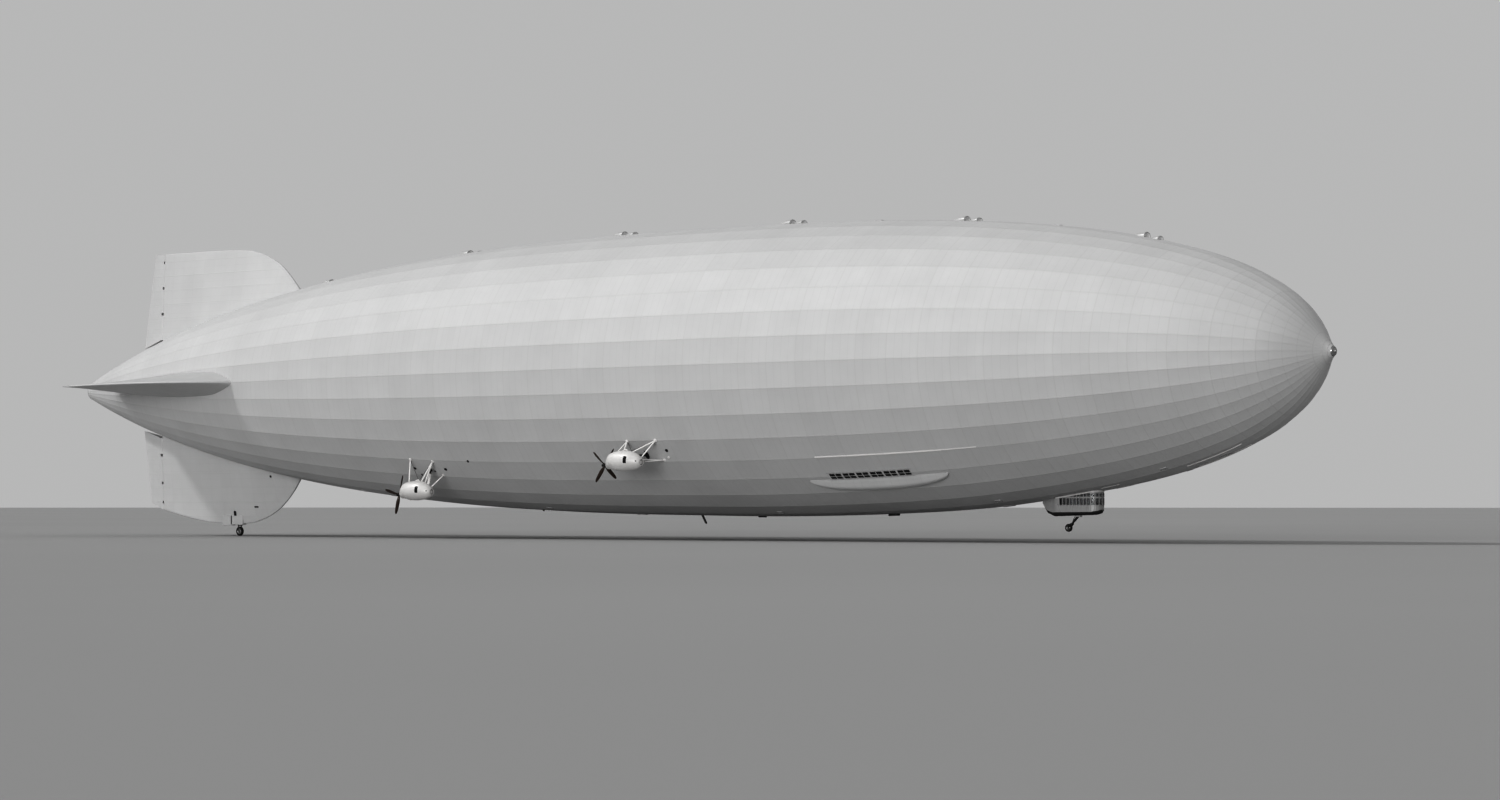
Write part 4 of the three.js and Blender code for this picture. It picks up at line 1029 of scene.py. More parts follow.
def rudder_rows(spec, fin_reach):
    """Levels of a rudder at each rib and between ribs."""
    high = spec["reach"]
    count = round((high - RUDDER_ROOT) / RUDDER_RIB_PITCH)
    rows = []
    for i, share in enumerate(between(0, 1, 2 * count)):
        rise = RUDDER_ROOT_RISE * (1 - share) + spec["clip"] * share
        trail = spec["trail_root"] + (spec["trail_tip"] - spec["trail_root"]) * share
        h = RUDDER_ROOT + (high - RUDDER_ROOT) * share
        rows.append(rudder_row(h, fin_reach, rise, trail, RUDDER_SAG * (i % 2)))
    return rows


def rib_tape(shape, row):
    """A tape over a rib, on both sides of a rudder."""
    half = len(row) // 2
    wide, edge = TAPE["half"], TAPE["edge"]
    ahead = RUDDER_FRONT_STEPS + 1
    for part in (row[ahead:half], row[-ahead:half + 2:-1]):
        strip = []
        for x, y, z in part:
            out = copysign(TAPE["out"], y)
            strip.append([(x, y - out, z - wide), (x, y + out * edge, z - wide), (x, y + out, z),
                          (x, y + out * edge, z + wide), (x, y - out, z + wide)])
        shape.solid(strip)


def rudders():
    notch, pin, sides = HINGE["notch"], HINGE["pin"], HINGE["sides"]
    axis = (HINGE_X, 0, 0)
    for _, table, name, spec, turn in TAIL:
        cloth = tail_cloth(turn)
        cover, tapes, pins, notches = Shape(cloth), Shape(cloth), Shape(bare_steel), Shape()
        rows = rudder_rows(spec, table[0][1])
        cover.solid(rows)
        for row in rows[::2]:
            rib_tape(tapes, row)
        for h in spec["hinges"]:
            rod = [(h - notch, 0), (h - notch, pin), (h + notch, pin), (h + notch, 0)]
            pins.turned(rod, axis, "z", sides)
            for end in (-1, 1):
                edge = h + end * notch / 2
                collar = [(edge + end * along, radius) for along, radius in COLLAR]
                pins.turned(collar, axis, "z", sides)
            # What is cut away from the rudder's front round each eye
            notches.block((HINGE_X - HINGE["notch_back"], -2, h - notch / 2),
                          (HINGE_X + HINGE["reach"], 2, h + notch / 2), 0.02)
        for shape in (cover, tapes, pins, notches):
            shape.points = turn_x(shape.points, turn)
        piece(f"{name}_cover", cover, name, [name], FIN_SHARP, notches)
        piece(f"{name}_tapes", tapes, name)
        piece(f"{name}_pins", pins, name)


# Engine cars

def car_lift(ahead):
    """Height of a car's middle line over the hub. It droops at the tail to the propeller, and at the nose."""
    rise = ease(clamp((ahead - CAR_LIFT_FROM) / (CAR_LIFT_TO - CAR_LIFT_FROM)))
    fall = ease(clamp((ahead - CAR_DROOP_FROM) / (CAR_FRONT - CAR_DROOP_FROM)))
    return CAR_LIFT * rise - CAR_DROOP * fall


def car_point(ahead, round_by, out=0.0):
    """A point on a car's skin, by its distance ahead of the hub and its angle from the top towards -Y."""
    radius = through(CAR_BODY, ahead) + out
    return (ahead, -radius * sin(round_by * DEG), car_lift(ahead) + radius * cos(round_by * DEG))


def car_patch(shape, ahead, round_by, half_long, half_round, corner, low, high, material=None):
    """A raised or sunk cover with round corners on a car's skin. half_round is a length along the skin."""
    half = (half_long, half_round / (through(CAR_BODY, ahead) * DEG))
    patch(shape, (ahead, round_by), half, corner, low, high, car_point, material)


def car_skin(shape):
    """One closed body, from the shaft's blind bore over the skin and lip into the round mouth at the nose."""
    rear, rear_radius = CAR_BODY[0]
    lip = CAR_BODY[-1][1]
    front_lift = car_lift(CAR_FRONT)
    rings = [(CAR_BORE_END, CAR_BORE, 0), (rear, CAR_BORE, 0), (rear, rear_radius - 2 * CAR_EDGE, 0)]
    for ahead in between(rear + CAR_EDGE, CAR_FRONT - CAR_EDGE, CAR_STEPS):
        rings.append((ahead, through(CAR_BODY, ahead), car_lift(ahead)))
    mouth = [(0, lip - CAR_EDGE), (0, MOUTH_RADIUS + CAR_EDGE), (CAR_EDGE, MOUTH_RADIUS),
             (MOUTH_DEPTH, MOUTH_RADIUS)]
    rings += [(CAR_FRONT - back, radius, front_lift) for back, radius in mouth]
    rows = [[(ahead, radius * s, lift + radius * c) for c, s in circle(CAR_SIDES)]
            for ahead, radius, lift in rings]
    shape.solid(rows)


def car_seams(shape):
    """Narrow laps where the car's panels join, and rows of rivets beside them."""
    for ahead in ROUND_LAPS:
        rows = []
        for step, out in CAR_LAP:
            place = ahead + ROUND_LAP_HALF * step
            rows.append([car_point(place, 360 * k / CAR_SIDES, out) for k in range(CAR_SIDES)])
        shape.loft(rows, wrap=True)
        for k in range(RIVETS):
            for step in (-RIVET["apart"], RIVET["apart"]):
                ends = [car_point(ahead + step, 360 * k / RIVETS, RIVET[end]) for end in ("root", "tip")]
                root, tip = map(Vector, ends)
                widths = [RIVET["size"] * share for share in (1, 0.9, 0.4)]
                shape.bar([root, root.lerp(tip, 0.75), tip], widths, sides=RIVET["sides"])
    for round_by in LONG_LAPS:
        rows = []
        for ahead in between(*LONG_LAP_ENDS, LONG_LAP_STEPS):
            wide = LONG_LAP_HALF / (through(CAR_BODY, ahead) * DEG)
            rows.append([car_point(ahead, round_by + step * wide, out) for step, out in CAR_LAP])
        shape.solid(rows)


def car_front(shape):
    """The air inlet in the round mouth: a dark ring with vanes across it, round a light dome."""
    back = CAR_FRONT - MOUTH_DEPTH
    centre = (0, 0, car_lift(CAR_FRONT))
    low, high = back - 0.02, back + 0.03
    disc = [(low, 0), (low, MOUTH_RADIUS), (high, MOUTH_RADIUS - 0.005), (high, 0)]
    shape.turned(disc, centre, material=dark_steel)
    dome = [(back, 0), (back, MOUTH_DOME)]
    for t in between(0, 1, 8):
        turn = t * pi / 2
        radius = MOUTH_DOME * cos(turn) ** 0.6 if t < 1 else 0
        dome.append((back + VANES_AHEAD + DOME_LONG * sin(turn), radius))
    shape.turned(dome, centre)
    for c, s in circle(MOUTH_VANES):
        reaches = (MOUTH_DOME - 0.02, MOUTH_RADIUS)
        ends = [(back + VANES_AHEAD, s * reach, centre[2] + c * reach) for reach in reaches]
        shape.bar(ends, 0.03, 0.15, sides=6, material=silver_metal)


def car_fittings(shape, side):
    """Windows, louvres, exhausts and a scoop. side is the car's side of the ship: exhausts face the hull."""
    for way in (1, -1):
        for ahead, round_by, half_long, half_tall in CAR_WINDOWS:
            car_patch(shape, ahead, way * round_by, half_long + 0.05, half_tall + 0.05, 0.35, -0.03, 0.014)
            # The window's near-black pane is painted shade
            car_patch(shape, ahead, way * round_by, half_long, half_tall, 0.3, -0.02, 0.022, shade_glass)
        for count, ahead, pitch, round_by, half_long, half_tall in LOUVRES:
            for k in range(count):
                car_patch(shape, ahead + pitch * k, way * round_by, half_long, half_tall, 0.6, -0.02, 0.022)
    pipe = EXHAUSTS
    for k in range(pipe["count"]):
        ahead = pipe["ahead"] + pipe["pitch"] * k
        start = Vector(car_point(ahead, pipe["degrees"] * side, pipe["deep"]))
        end = Vector(car_point(ahead - pipe["back"], pipe["degrees"] * side, pipe["out"]))
        bent = end + Vector((-0.1, 0, -0.02))
        shape.bar([start, start.lerp(end, 0.8), end, bent], pipe["radius"], material=dark_steel)
    path = [car_point(ahead, 0, out) for ahead, out, _ in SCOOP]
    shape.bar(path, [radius for _, _, radius in SCOOP], sides=16, along=(0, 1, 0))


def engine_cars():
    for name, pair, x, y, z, first in ENGINE_CARS:
        shape = Shape(car_paint)
        car_skin(shape)
        car_seams(shape)
        car_front(shape)
        car_fittings(shape, copysign(1, y))
        shape.points = moved(shape.points, (x, y, z))
        piece(f"{name}_car_body", shape, replaces=[f"{name}_engine_car"], sharp=32)
        propeller(name, (x, y, z), first)
        car_stays(name, pair, (x, y, z))


def blade_rows(turn):
    """A blade's sections from root to tip, turned about the shaft."""
    section = []
    for k in range(BLADE_SIDES):
        t = 2 * pi * k / BLADE_SIDES
        thick = 0.5 * sin(t) * (1 - 0.35 * cos(t) - 0.25 * cos(2 * t))
        section.append((0.5 * cos(t), thick * (1 if thick > 0 else BLADE_FLAT)))
    root, tip = BLADE[0][0], BLADE[-1][0]
    rows = []
    for r in between(root, tip, BLADE_STEPS):
        chord, thick, pitch = (through(BLADE, r, column) for column in (1, 2, 3))
        chord *= clamp((tip - r) / BLADE_TIP) ** 0.5
        c, s = cos(pitch * DEG), sin(pitch * DEG)
        row = [(v * thick * c - u * chord * s, u * chord * c + v * thick * s, r) for u, v in section]
        rows.append(turn_x(row, turn))
    return rows


def propeller(name, place, first):
    shape = Shape(wood)
    hub, half = PROPELLER["hub"], PROPELLER["hub_length"] / 2
    shaft, shaft_end = PROPELLER["shaft"], PROPELLER["shaft_end"]
    profile = []
    for t in between(pi / 2, 0, 7):
        profile.append((-half - PROPELLER["nose"] * sin(t), hub * 0.85 * cos(t)))
    profile += [(-half + 0.06, hub * 0.97), (-half + 0.1, hub), (half - 0.07, hub), (half - 0.02, hub * 0.9),
                (half, hub * 0.75), (half, shaft), (shaft_end, shaft), (shaft_end, 0)]
    shape.turned(profile, sides=40, material=dark_steel)
    for x, way in [(-half - 0.01, -1), (half, 1)]:
        shape.bolt_ring(x, hub * 0.6, PROPELLER["bolts"], 0.03, (way, 0), dark_steel)
    for k in range(PROPELLER["blades"]):
        shape.solid(blade_rows(first + 360 * k / PROPELLER["blades"]))
    shape.points = moved(shape.points, place)
    piece(f"{name}_airscrew", shape, f"{name}_propeller", [f"{name}_propeller"], sharp=40)


def on_car(place, ahead, round_by, out):
    """A point at a car's skin, by its distance ahead of the hub and angle from the top towards the hull."""
    along, across, up = car_point(ahead, round_by, out)
    x, y, z = place
    return Vector((x + along, y + across * copysign(1, y), z + up))


def strut_foot(row, place):
    """A strut's foot on the hull's skin, and the way out from the skin there."""
    _, _, ahead, below, *_ = row
    x, y, _ = place
    side = copysign(1, y)
    out = Vector((0, side * cos(below * DEG), -sin(below * DEG)))
    return Vector(on_skin(x + ahead, below, side)), out


def car_stays(name, pair, place):
    """The struts that carry a car, with their feet, and its bracing wires."""
    rows = {row[1]: row for row in STRUTS if row[0] == pair}
    tube = rows.pop("access_tube")
    shape = Shape(strut_paint)
    for row in rows.values():
        foot, out = strut_foot(row, place)
        radius = row[4]
        flange = [(-0.3, radius + 0.17), (0.03, radius + 0.17), (0.06, radius + 0.12), (0.1, radius * 0.9)]
        shape.bar([foot + out * lift for lift, _ in flange], [wide for _, wide in flange], sides=20)
        for ahead, round_by in row[5:]:
            end = on_car(place, ahead, round_by, -STRUT_DEPTH)
            path = [foot.lerp(end, share) for share, _ in STRUT_SWELL]
            shape.bar(path, [radius * swell for _, swell in STRUT_SWELL], 0.7, sides=14)
    for for_pair, label, ahead, round_by in WIRES:
        if for_pair == pair:
            foot, _ = strut_foot(rows[label], place)
            end = on_car(place, ahead, round_by, -0.02)
            shape.bar([foot, foot.lerp(end, 0.5), end], WIRE_RADIUS, sides=6, material=dark_steel)
    piece(f"{name}_stays", shape, replaces=[f"{name}_{label}" for label in rows])
    access_ladder(name, place, tube, FAIRING_SHADOW_SHARE[pair])


def access_ladder(name, place, row, dark):
    """The way down to the car from a hatch in the hull: a slim fairing with rungs on both its sides.

    Its hatch, and the fairing with its rungs down to the share given by dark, are painted shadow.
    """
    shape = Shape(strut_paint)
    foot, out = strut_foot(row, place)
    end = on_car(place, *row[5], -STRUT_DEPTH)
    radius = row[4]
    way = (end - foot).normalized()
    wide = (Vector((1, 0, 0)) - way * way.x).normalized()
    shadow_end = foot.lerp(end, dark)
    # The hatch, and the upper share of the fairing and its rungs, are near-black paint: painted shadow
    hatch = [foot - out * 0.2, foot + out * 0.03, foot + out * 0.06]
    shape.bar(hatch, [radius, radius, radius * 0.9], 0.8, sides=28, material=shadow_paint)
    shape.bar([foot, shadow_end], radius * 0.95, 0.7, sides=24, material=shadow_paint)
    shape.bar([shadow_end, end], radius * 0.95, 0.7, sides=24)
    for side in (-1, 1):
        rail = wide * side * radius
        shape.bar([shadow_end + rail, end + rail], RUNG["rail"], sides=10)
    count = round((end - foot).length / RUNG["pitch"])
    for k in range(1, count):
        at, reach = foot.lerp(end, k / count), wide * radius * RUNG["reach"]
        material = shadow_paint if k / count < dark else strut_paint
        shape.bar([at - reach, at + reach], RUNG["radius"], sides=10, along=way, material=material)
    piece(f"{name}_access_fairing", shape, replaces=[f"{name}_access_tube"])


# Control car

def cabin_half(x, inset=0.0):
    """Half the width of the control car's plan at x."""
    half = CABIN["half_width"] - inset
    if x >= CABIN["bow_centre"]:
        return sqrt(max(half * half - (x - CABIN["bow_centre"]) ** 2, 0))
    if x >= CABIN["flare_x"]:
        return half
    share = (x - CABIN["rear_x"]) / (CABIN["flare_x"] - CABIN["rear_x"])
    return CABIN["rear_half"] - inset + (CABIN["half_width"] - CABIN["rear_half"]) * share


def keel_at(x, column=1):
    """A column of the table of the car's underside at x, in straight lines between its rows."""
    for before, after in zip(CABIN_KEEL, CABIN_KEEL[1:]):
        if x <= after[0]:
            share = clamp((x - before[0]) / (after[0] - before[0]))
            return before[column] + (after[column] - before[column]) * share
    return CABIN_KEEL[-1][column]


def cabin_outline(out):
    """The car's plan as points, pushed out by a little, from the rear round the bow."""
    half, rear_x, rear_half = CABIN["half_width"] + out, CABIN["rear_x"] - out, CABIN["rear_half"] + out
    turns = between(-pi / 2, pi / 2, 12)
    bow = [(CABIN["bow_centre"] + half * cos(turn), half * sin(turn)) for turn in turns]
    rear = [(CABIN["flare_x"], half), (rear_x, rear_half)]
    return [(x, -y) for x, y in reversed(rear)] + bow + rear


def belt(shape, z_low, z_high, out, x_from):
    """A rail round the car at one height, from some way ahead of its rear."""
    rows = []
    for (xi, yi), (xo, yo) in zip(cabin_outline(-0.02), cabin_outline(out)):
        if xo >= x_from:
            rows.append([(xi, yi, z_low), (xo, yo, z_low + 0.01), (xo, yo, z_high - 0.01), (xi, yi, z_high)])
    shape.solid(rows)


def pane_places():
    """Centre, width direction and outward direction of every pane, with its lower and upper edge."""
    half = CABIN["half_width"]
    places = []
    for low, high, first in PANE_BANDS:
        for i in range(first, CABIN["side_panes"]):
            for side in (-1, 1):
                centre = (CABIN["first_pane"] + i * CABIN["pitch"], side * half)
                places.append((centre, (1, 0), (0, side), low, high))
        for turn in BOW_PANES:
            u, v = cos(turn * DEG), sin(turn * DEG)
            centre = (CABIN["bow_centre"] + half * u * BOW_SHARE, half * v * BOW_SHARE)
            places.append((centre, (-v, u), (u, v), low, high))
    return places


def pane_frames(shape):
    edge, proud, half = CABIN["frame"], CABIN["frame_out"], CABIN["pane"] / 2
    for (x, y), (ax, ay), (ox, oy), low, high in pane_places():
        rows = []
        for u, z in [(-half, low), (half, low), (half, high), (-half, high), (-half, low)]:
            wide_u, wide_z = u + power(u, 0) * edge, z + (edge if z == high else -edge)
            section = [(u, z, -0.06), (u, z, proud), (wide_u, wide_z, proud), (wide_u, wide_z, -0.01)]
            rows.append([(x + ax * along + ox * out, y + ay * along + oy * out, up)
                         for along, up, out in section])
        shape.loft(rows, wrap=True)


def control_car_trim():
    # The control car's trim has the darker silver paint of painted shade
    shape = Shape(cabin_shade_paint)
    pane_frames(shape)
    for rail in BELTS:
        belt(shape, *rail)
    for x in POSTS_X:
        for side in (-1, 1):
            y = side * (cabin_half(x) + 0.008)
            shape.bar([(x, y, keel_at(x) + 0.05), (x, y, under_hull(x, y) + 0.05)], POST_RADIUS, 0.5, sides=8)
    for side in (-1, 1):
        def lift(u, v, level):
            return (u, side * (CABIN["half_width"] + level), v)

        patch(shape, (DOOR["x"], DOOR["z"]), (DOOR["half_long"], DOOR["half_tall"]), 0.15, -0.01, 0.02, lift)
        ahead, *ends = DOOR["handle"]
        path = [lift(DOOR["x"] + ahead, z, 0.06) for z in ends]
        shape.bar(path, DOOR["grip"], sides=8, material=dark_steel)
    piece("control_car_trim", shape)

    roof = Shape(strut_paint)
    rows = []
    for (xi, yi), (xo, yo) in list(zip(cabin_outline(-0.05), cabin_outline(0.06)))[1:-1]:
        z = under_hull(xo, yo)
        rows.append([(xi, yi, z + 0.1), (xo, yo, z + 0.1), (xo, yo, z - 0.1), (xi, yi, z - 0.13)])
    roof.solid(rows)
    piece("control_car_roof_trim", roof)


def hand_wheel(shape, x, y, axis):
    """A wheel of wood on a steel stand, with four spokes right across it."""
    z, radius, rim = HAND_WHEEL["z"], HAND_WHEEL["radius"], HAND_WHEEL["rim"]

    def at(along, u, v):
        return (x + along, y + u, z + v) if axis == "x" else (x + u, y + along, z + v)

    rows = []
    for tilt in between(0, 2 * pi, 8):
        reach = radius + rim * cos(tilt)
        rows.append([at(rim * sin(tilt), reach * c, reach * s) for c, s in circle(32)])
    shape.loft(rows, wrap=True)
    for c, s in circle(8)[:4]:
        ends = [at(0, end * radius * c, end * radius * s) for end in (-1, 1)]
        shape.bar(ends, HAND_WHEEL["spoke"], sides=8)
    back, front = x - HAND_WHEEL["stand_back"], x - HAND_WHEEL["stand_front"]
    shape.bar([(back, y, DECK_Z), (back, y, z), (front, y, z)], HAND_WHEEL["stand"], material=dark_steel)


def control_car_inside():
    """What shows through the windows: a deck, two hand wheels on stands, a chart table and instruments."""
    shape = Shape(wood)
    shape.block(*DECK, 0.1, silver_metal)
    for wheel in HAND_WHEELS:
        hand_wheel(shape, *wheel)
    shape.block(*CHART_TABLE, 0.2)
    leg = TABLE_LEGS
    for x in leg["x"]:
        ends = [(x, leg["y"], DECK_Z), (x, leg["y"], leg["top"])]
        shape.bar(ends, leg["radius"], sides=10, material=dark_steel)
    shape.block(*INSTRUMENTS, 0.2, dark_steel)
    piece("control_car_fittings", shape)


def control_car_bumper():
    """The landing cushion under the car: rounded, and drawn in by its straps."""
    rows = []
    for x in between(BUMPER["from"], BUMPER["to"], 60):
        wide = min(BUMPER["half_width"], cabin_half(x, BUMPER["inset"]))
        nip = BUMPER["nip"] * abs(sin(pi * (x - BUMPER["from"]) / BUMPER["strap_pitch"])) ** 0.4
        top = keel_at(x) - 0.004
        deep = keel_at(x, 2) - 0.04 + nip
        row = []
        for turn in between(0, pi, 20):
            down = deep * abs(sin(turn)) ** BUMPER["square"]
            row.append((x, -cos(turn) * wide * (BUMPER["share"] + nip), top - down))
        rows.append(row)
    shape = Shape(bumper_cloth)
    shape.solid(rows)
    made = piece("control_car_cushion", shape, replaces=["control_car_bumper"], sharp=60)


# Landing wheels

def wheels():
    for name, x, z, radius, half, foot_x, foot_z in WHEELS:
        rim = radius * WHEEL["rim_share"]
        wheel = f"{name}_wheel"
        tyre, hub = tyre_shape(x, z, radius, half, rim), hub_shape(x, z, half, rim - 0.003)
        piece(f"{name}_tyre_tread", tyre, wheel, [f"{name}_tyre"])
        piece(f"{name}_hub", hub, wheel, [f"{name}_wheel_hub"])
        leg = gear_shape(name, x, z, radius, half, foot_x, foot_z)
        piece(f"{name}_leg", leg, replaces=[f"{name}_gear_leg"])


def tyre_shape(x, z, radius, half, rim):
    middle, tall = (radius + rim) / 2, (radius - rim) / 2
    rows = []
    for k in range(TREAD["blocks"] + 1):
        turn = 2 * pi * k / TREAD["blocks"]
        ring = []
        for c, s in circle(20):
            groove = TREAD["deep"] if c > TREAD["from"] and (k // 2) % 2 else 0
            reach = middle + tall * power(c, 0.7) - groove
            ring.append((x + reach * sin(turn), half * power(s, 0.75) * 0.99, z + reach * cos(turn)))
        rows.append(ring)
    shape = Shape(rubber)
    shape.loft(rows, wrap=True)
    return shape


def hub_shape(x, z, half, rim):
    """A hub, whose half profile runs from the axle's sleeve over a thin web to the rim."""
    hub, bore = WHEEL["hub_half"], WHEEL["bore"]
    profile = [(hub, bore), (hub, 0.16), (hub - 0.02, 0.175), (half * 0.4, 0.2), (half * 0.3, 0.24),
               (half * 0.3, rim - 0.09), (half * 0.55, rim - 0.03), (half * 0.62, rim)]
    profile = [(-along, reach) for along, reach in profile] + profile[::-1] + [(-hub, bore)]
    shape = Shape(bare_steel)
    rows = [[(x + reach * s, along, z + reach * c) for c, s in circle(48)] for along, reach in profile]
    shape.loft(rows, wrap=True)
    ring, size = WHEEL_BOLTS["ring"], WHEEL_BOLTS["size"]
    for c, s in circle(WHEEL_BOLTS["count"]):
        for side in (-1, 1):
            at = side * half * 0.3
            path = [(x + ring * s, y, z + ring * c) for y in (at * 0.5, at + side * 0.02, at + side * 0.035)]
            shape.bar(path, [size, size, size * 2 / 3], sides=6, material=dark_steel)
    return shape


def gear_shape(name, x, z, radius, half, foot_x, foot_z):
    """A fork over the wheel with its axle, and a leg up to a foot plate. The forward one has two braces."""
    shape = Shape(dark_steel)
    spread = max(half, WHEEL["hub_half"]) + WHEEL["side"] + WHEEL["arm"] / 2
    at, foot, across = Vector((x, 0, z)), Vector((foot_x, 0, foot_z)), Vector((0, 1, 0))
    away = (foot - at).normalized()
    reach = radius + WHEEL["clear"] + WHEEL["fork_top"]
    top = at + away * reach
    for side in (-1, 1):
        arm, out = at + across * side * spread, across * side
        path = [arm + away * along for along in (-0.11, -0.08, 0, reach * 0.8, reach + 0.1)]
        shape.bar(path, [0.05, 0.11, 0.11, 0.1, 0.09], 0.33, sides=16, along=away.cross(across))
        nut = [arm + out * lift for lift in (-0.02, 0.06, 0.07)]
        shape.bar(nut, [0.08, 0.08, 0.05], sides=6, material=bare_steel)
    shape.bar([top + across * end * (spread + 0.03) for end in (-1, 1)], 0.1, 0.9, sides=16, along=away)
    shape.bar([at + across * end * spread for end in (-1, 1)], WHEEL["axle"], sides=20, material=bare_steel)
    long = (foot - top).length
    path = [top + away * share * long for share, _ in LEG] + [foot - away * 0.02]
    shape.bar(path, [wide for _, wide in LEG] + [0.17], sides=20, along=across)
    plate = LEG_FOOT
    plate_top = foot_z - 0.003 if name == "tail" else foot_z + plate["low"]
    shape.block((foot_x - plate["half_long"], -plate["half_wide"], foot_z - plate["low"]),
                (foot_x + plate["half_long"], plate["half_wide"], plate_top), 0.12, silver_metal)
    for dx in (-plate["bolt_x"], plate["bolt_x"]):
        for dy in (-plate["bolt_y"], plate["bolt_y"]):
            ends = [(foot_x + dx, dy, foot_z - down) for down in (0.09, 0.125)]
            shape.bar(ends, plate["bolt"], sides=6, material=bare_steel)
    if name == "forward":
        brace = Vector((foot_x - 0.4, 0, foot_z + 0.02))
        for side in (-1, 1):
            ends = [top + across * side * 0.1 + away * 0.15, brace + across * side * 0.2]
            shape.bar(ends, BRACE_RADIUS, sides=10)
    return shape


# Promenade bays

def bay_share(x):
    """How much of its height the bulge has at x: all of it in the middle, and none at its ends."""
    along = 2 * (x - BAY["from"]) / (BAY["to"] - BAY["from"]) - 1
    return sqrt(max(1 - abs(along) ** BAY["power"], 0))


def bay_point(x, angle, side, out=0.0):
    """A point on the bulge's skin, or on the hull beyond its edge."""
    share = max(bay_share(x), 0.02)
    spread = BAY_TOP + (angle - BAY_TOP) / share
    rise = BAY["bulge"] * share * through(BAY_TABLE, spread) if BAY_TOP < spread < BAY_BOTTOM else 0
    return on_skin(x, angle, side, rise + out)


def bay_cover(side):
    rows = []
    for x in between(BAY["from"] + 0.02, BAY["to"] - 0.02, 90):
        angles = [BAY_TOP + (BAY_BOTTOM - BAY_TOP) * bay_share(x) * t for t in between(0, 1, 30)]
        levels = [(angles[0], BAY["edge"])] + [(a, BAY["skin"]) for a in angles] + [(angles[-1], BAY["edge"])]
        rows.append([bay_point(x, angle, side, out) for angle, out in levels])
    shape = Shape(hull_cloth)
    shape.solid(rows)
    return shape


def bay_glazing(side):
    """The band's panes with their proud frames, and a strip over and under them."""
    def place(u, v, level):
        return bay_point(u, v, side, level)

    # The panes' near-black glass is painted shade
    shape = Shape(shade_glass)
    w = BAY_WINDOWS
    pitch, tall = (w["to"] - w["from"]) / w["bays"], w["low"] - w["high"]
    half = (pitch * PANE_HALF[0], tall * PANE_HALF[1])
    frame_half = tuple(size * PANE_FRAME for size in half)
    for bay in range(w["bays"]):
        for along in PANE_ALONG:
            for down in PANE_DOWN:
                middle = (w["from"] + pitch * (bay + along), w["high"] + tall * down)
                patch(shape, middle, frame_half, 0.2, -0.02, 0.035, place, silver_metal)
                patch(shape, middle, half, 0.2, -0.01, 0.048, place)
    places = between(w["from"] - SILL_OVER, w["to"] + SILL_OVER, 40)
    for angle in (w["low"] + SILL_BEYOND, w["high"] - SILL_BEYOND):
        rows = [[bay_point(x, angle + turn, side, out) for turn, out in SILL] for x in places]
        shape.solid(rows, silver_metal)
    return shape


def promenades():
    for name, side in SIDES.items():
        bay = f"{name}_promenade"
        piece(f"{bay}_cover", bay_cover(side), replaces=[f"{bay}_bay"])
        piece(f"{bay}_glazing", bay_glazing(side), replaces=[f"{bay}_windows"])


# Ridge hoods

def hoods():
    """Pairs of hoods, one behind the other, with their lower halves under the hull's skin."""
    for i, x in enumerate(HOODS):
        shape = Shape(silver_metal)
        for ahead, long, half, high in HOOD_PAIR:
            drop = min(hull_radius(x + ahead) - hull_radius(x), 0)
            hood_shell(shape, (x + ahead, hull_radius(x) + drop), long, half, high)
        piece(f"ridge_vent_{i + 1}", shape, replaces=[f"vent_hood_{i + 1}"])


def hood_shell(shape, mouth, long, half, high):
    """A hood like half an egg, open forward, with a throat inside. mouth is its place: x and height."""
    def ring(behind, share):
        return [(mouth[0] - behind, half * share * c, mouth[1] + high * share * s) for c, s in circle(40)]

    outer = [ring(long * (1 - t), max(sqrt(1 - (1 - t) ** 2), 0.02)) for t in between(0, 1, 18)]
    lip = [ring(*row) for row in HOOD_LIP]
    shape.loft(outer + lip, wrap=True)
    throat = [ring(long * behind, share) for behind, share in HOOD_THROAT]
    # The throat's paint, lighter than the hood's metal, is painted light
    shape.loft([lip[-1], *throat], wrap=True, material=throat_light_paint)


# Small fittings on the hull

def hatches(shape, table, side):
    """Rimmed hatches of one kind, in a row along X."""
    places, below, half_long, half_tall, out, square = table
    for x in places:
        skin_disc(shape, x, below, side, half_long, half_tall, out, silver_metal, silver_metal, square)


def hull_fittings():
    shape = Shape(strut_paint)
    for side in SIDES.values():
        for start, end, below, steps, half_tall, out in HULL_STRIPS:
            skin_strip(shape, [(x, below) for x in between(start, end, steps)], side, half_tall, out)
        # A dark cover's near-black face is painted shadow
        for x, below, half_long, half_tall, out, dark, rimmed in HULL_COVERS:
            skin_disc(shape, x, below, side, half_long, half_tall, out, shadow_paint if dark else strut_paint,
                      silver_metal if rimmed else None)
        hatches(shape, SIDE_HATCHES, side)
    hatches(shape, KEEL_HATCHES, 1)
    hatches(shape, RIDGE_HATCHES, 1)
    for x, half_long, half_wide, out in KEEL_DOMES:
        skin_disc(shape, x, 90, 1, half_long, half_wide, out, dark_steel)
    path = [(x, 0, z) for x, z, _ in KEEL_PIPE]
    shape.bar(path, [radius for _, _, radius in KEEL_PIPE], sides=16, material=dark_steel)
    piece("hull_fittings", shape)


# Solids of the frame that stay as they are

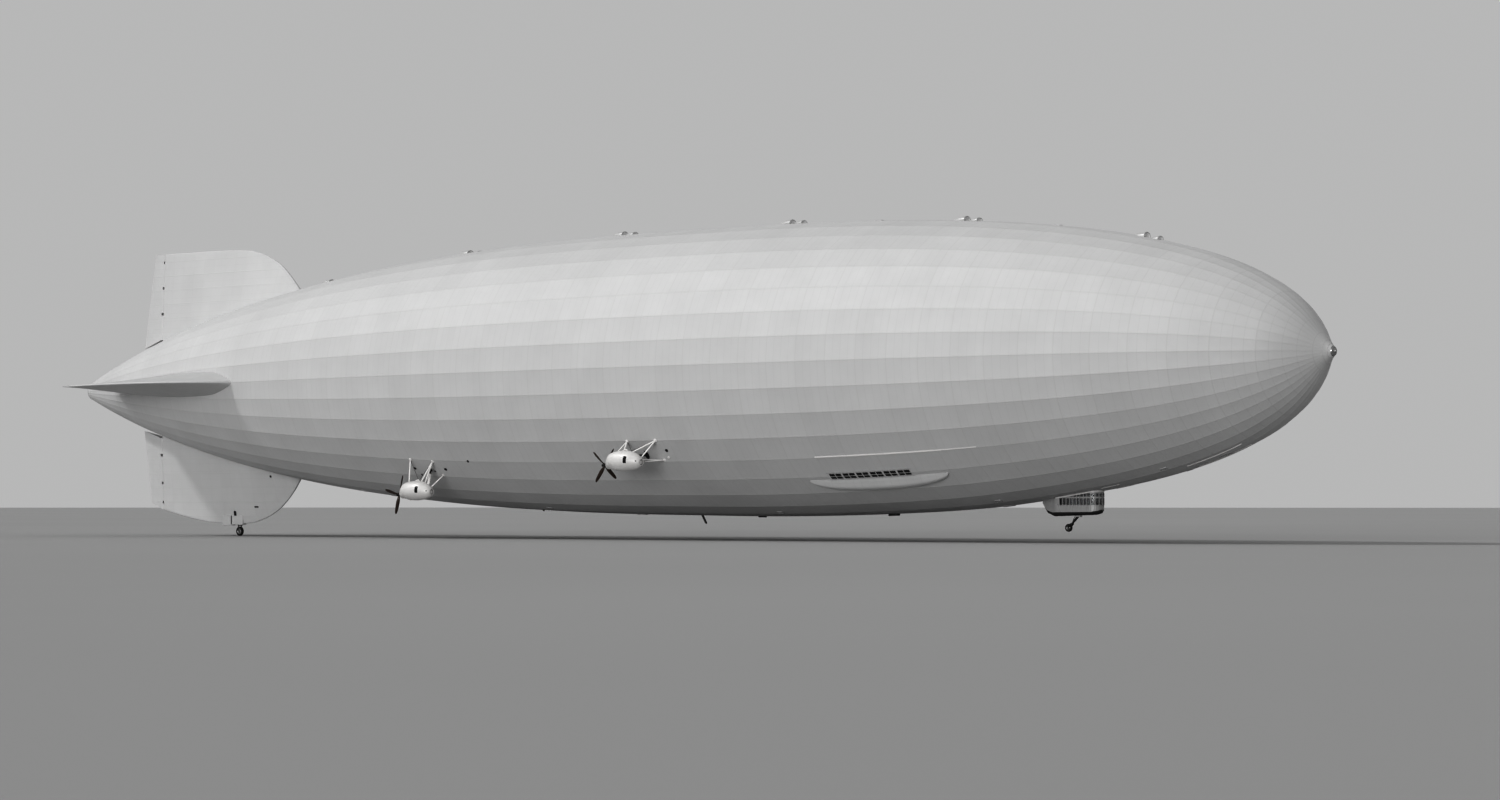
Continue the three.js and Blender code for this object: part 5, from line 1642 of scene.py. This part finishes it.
def dress_nodes():
    finishes = {f"{name}_engine_block": iron for name, *_ in ENGINE_CARS}
    # The control car's body gets the darker silver paint of painted shade
    finishes.update(control_car_glass=clear_glass, control_car=cabin_shade_paint)
    for node, material in finishes.items():
        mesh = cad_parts[node].data
        mesh.materials.clear()
        mesh.materials.append(material)


# Stage

def added(name, data):
    made = bpy.data.objects.new(name, data)
    bpy.context.scene.collection.objects.link(made)
    return made


def aim(made, way, track):
    """Turns a lamp or camera so that its axis lies along a direction."""
    made.rotation_mode = "QUATERNION"
    made.rotation_quaternion = Vector(way).to_track_quat(track, "Y")


def stage():
    floor_mesh = bpy.data.meshes.new("floor")
    ways = [(-1, -1), (1, -1), (1, 1), (-1, 1)]
    corners = [(x * FLOOR_REACH, y * FLOOR_REACH, FLOOR_Z) for x, y in ways]
    floor_mesh.from_pydata(corners, [], [(0, 1, 2, 3)])
    paper = Finish("floor_paper", specular=0.1)
    soft = paper.noise(0.05)
    colour = paper.mix(soft, grey(FLOOR_GREY[0]), grey(FLOOR_GREY[1]))
    floor_mesh.materials.append(paper.set(colour, paper.spread(soft, 0.9, 0.95)))
    added("floor", floor_mesh)

    for name, energy, size, way in LIGHTS:
        lamp = bpy.data.lights.new(name, "SUN")
        lamp.energy = energy
        lamp.angle = size * DEG
        aim(added(name, lamp), way, "Z")

    scene = bpy.context.scene
    scene.world = bpy.data.worlds.new("studio")
    scene.world.use_nodes = True
    background = scene.world.node_tree.nodes["Background"]
    background.inputs["Color"].default_value = grey(SKY_GREY)
    background.inputs["Strength"].default_value = 1.0
    scene.view_settings.view_transform = "Standard"
    scene.view_settings.gamma = FILM_GAMMA

    lens = bpy.data.cameras.new("camera")
    lens.lens = CAMERA["lens"]
    lens.sensor_width = CAMERA["sensor"]
    lens.sensor_fit = "HORIZONTAL"
    lens.clip_end = CAMERA["far"]
    camera = added("camera", lens)
    camera.location = CAMERA["place"]
    tilt = CAMERA["pitch"] * DEG
    across, ahead = CAMERA["heading"]
    aim(camera, (across * cos(tilt), ahead * cos(tilt), sin(tilt)), "-Z")
    scene.camera = camera


hull_cover()
stern_and_nose()
fins()
rudders()
engine_cars()
control_car_trim()
control_car_inside()
control_car_bumper()
wheels()
promenades()
hoods()
hull_fittings()
dress_nodes()
stage()
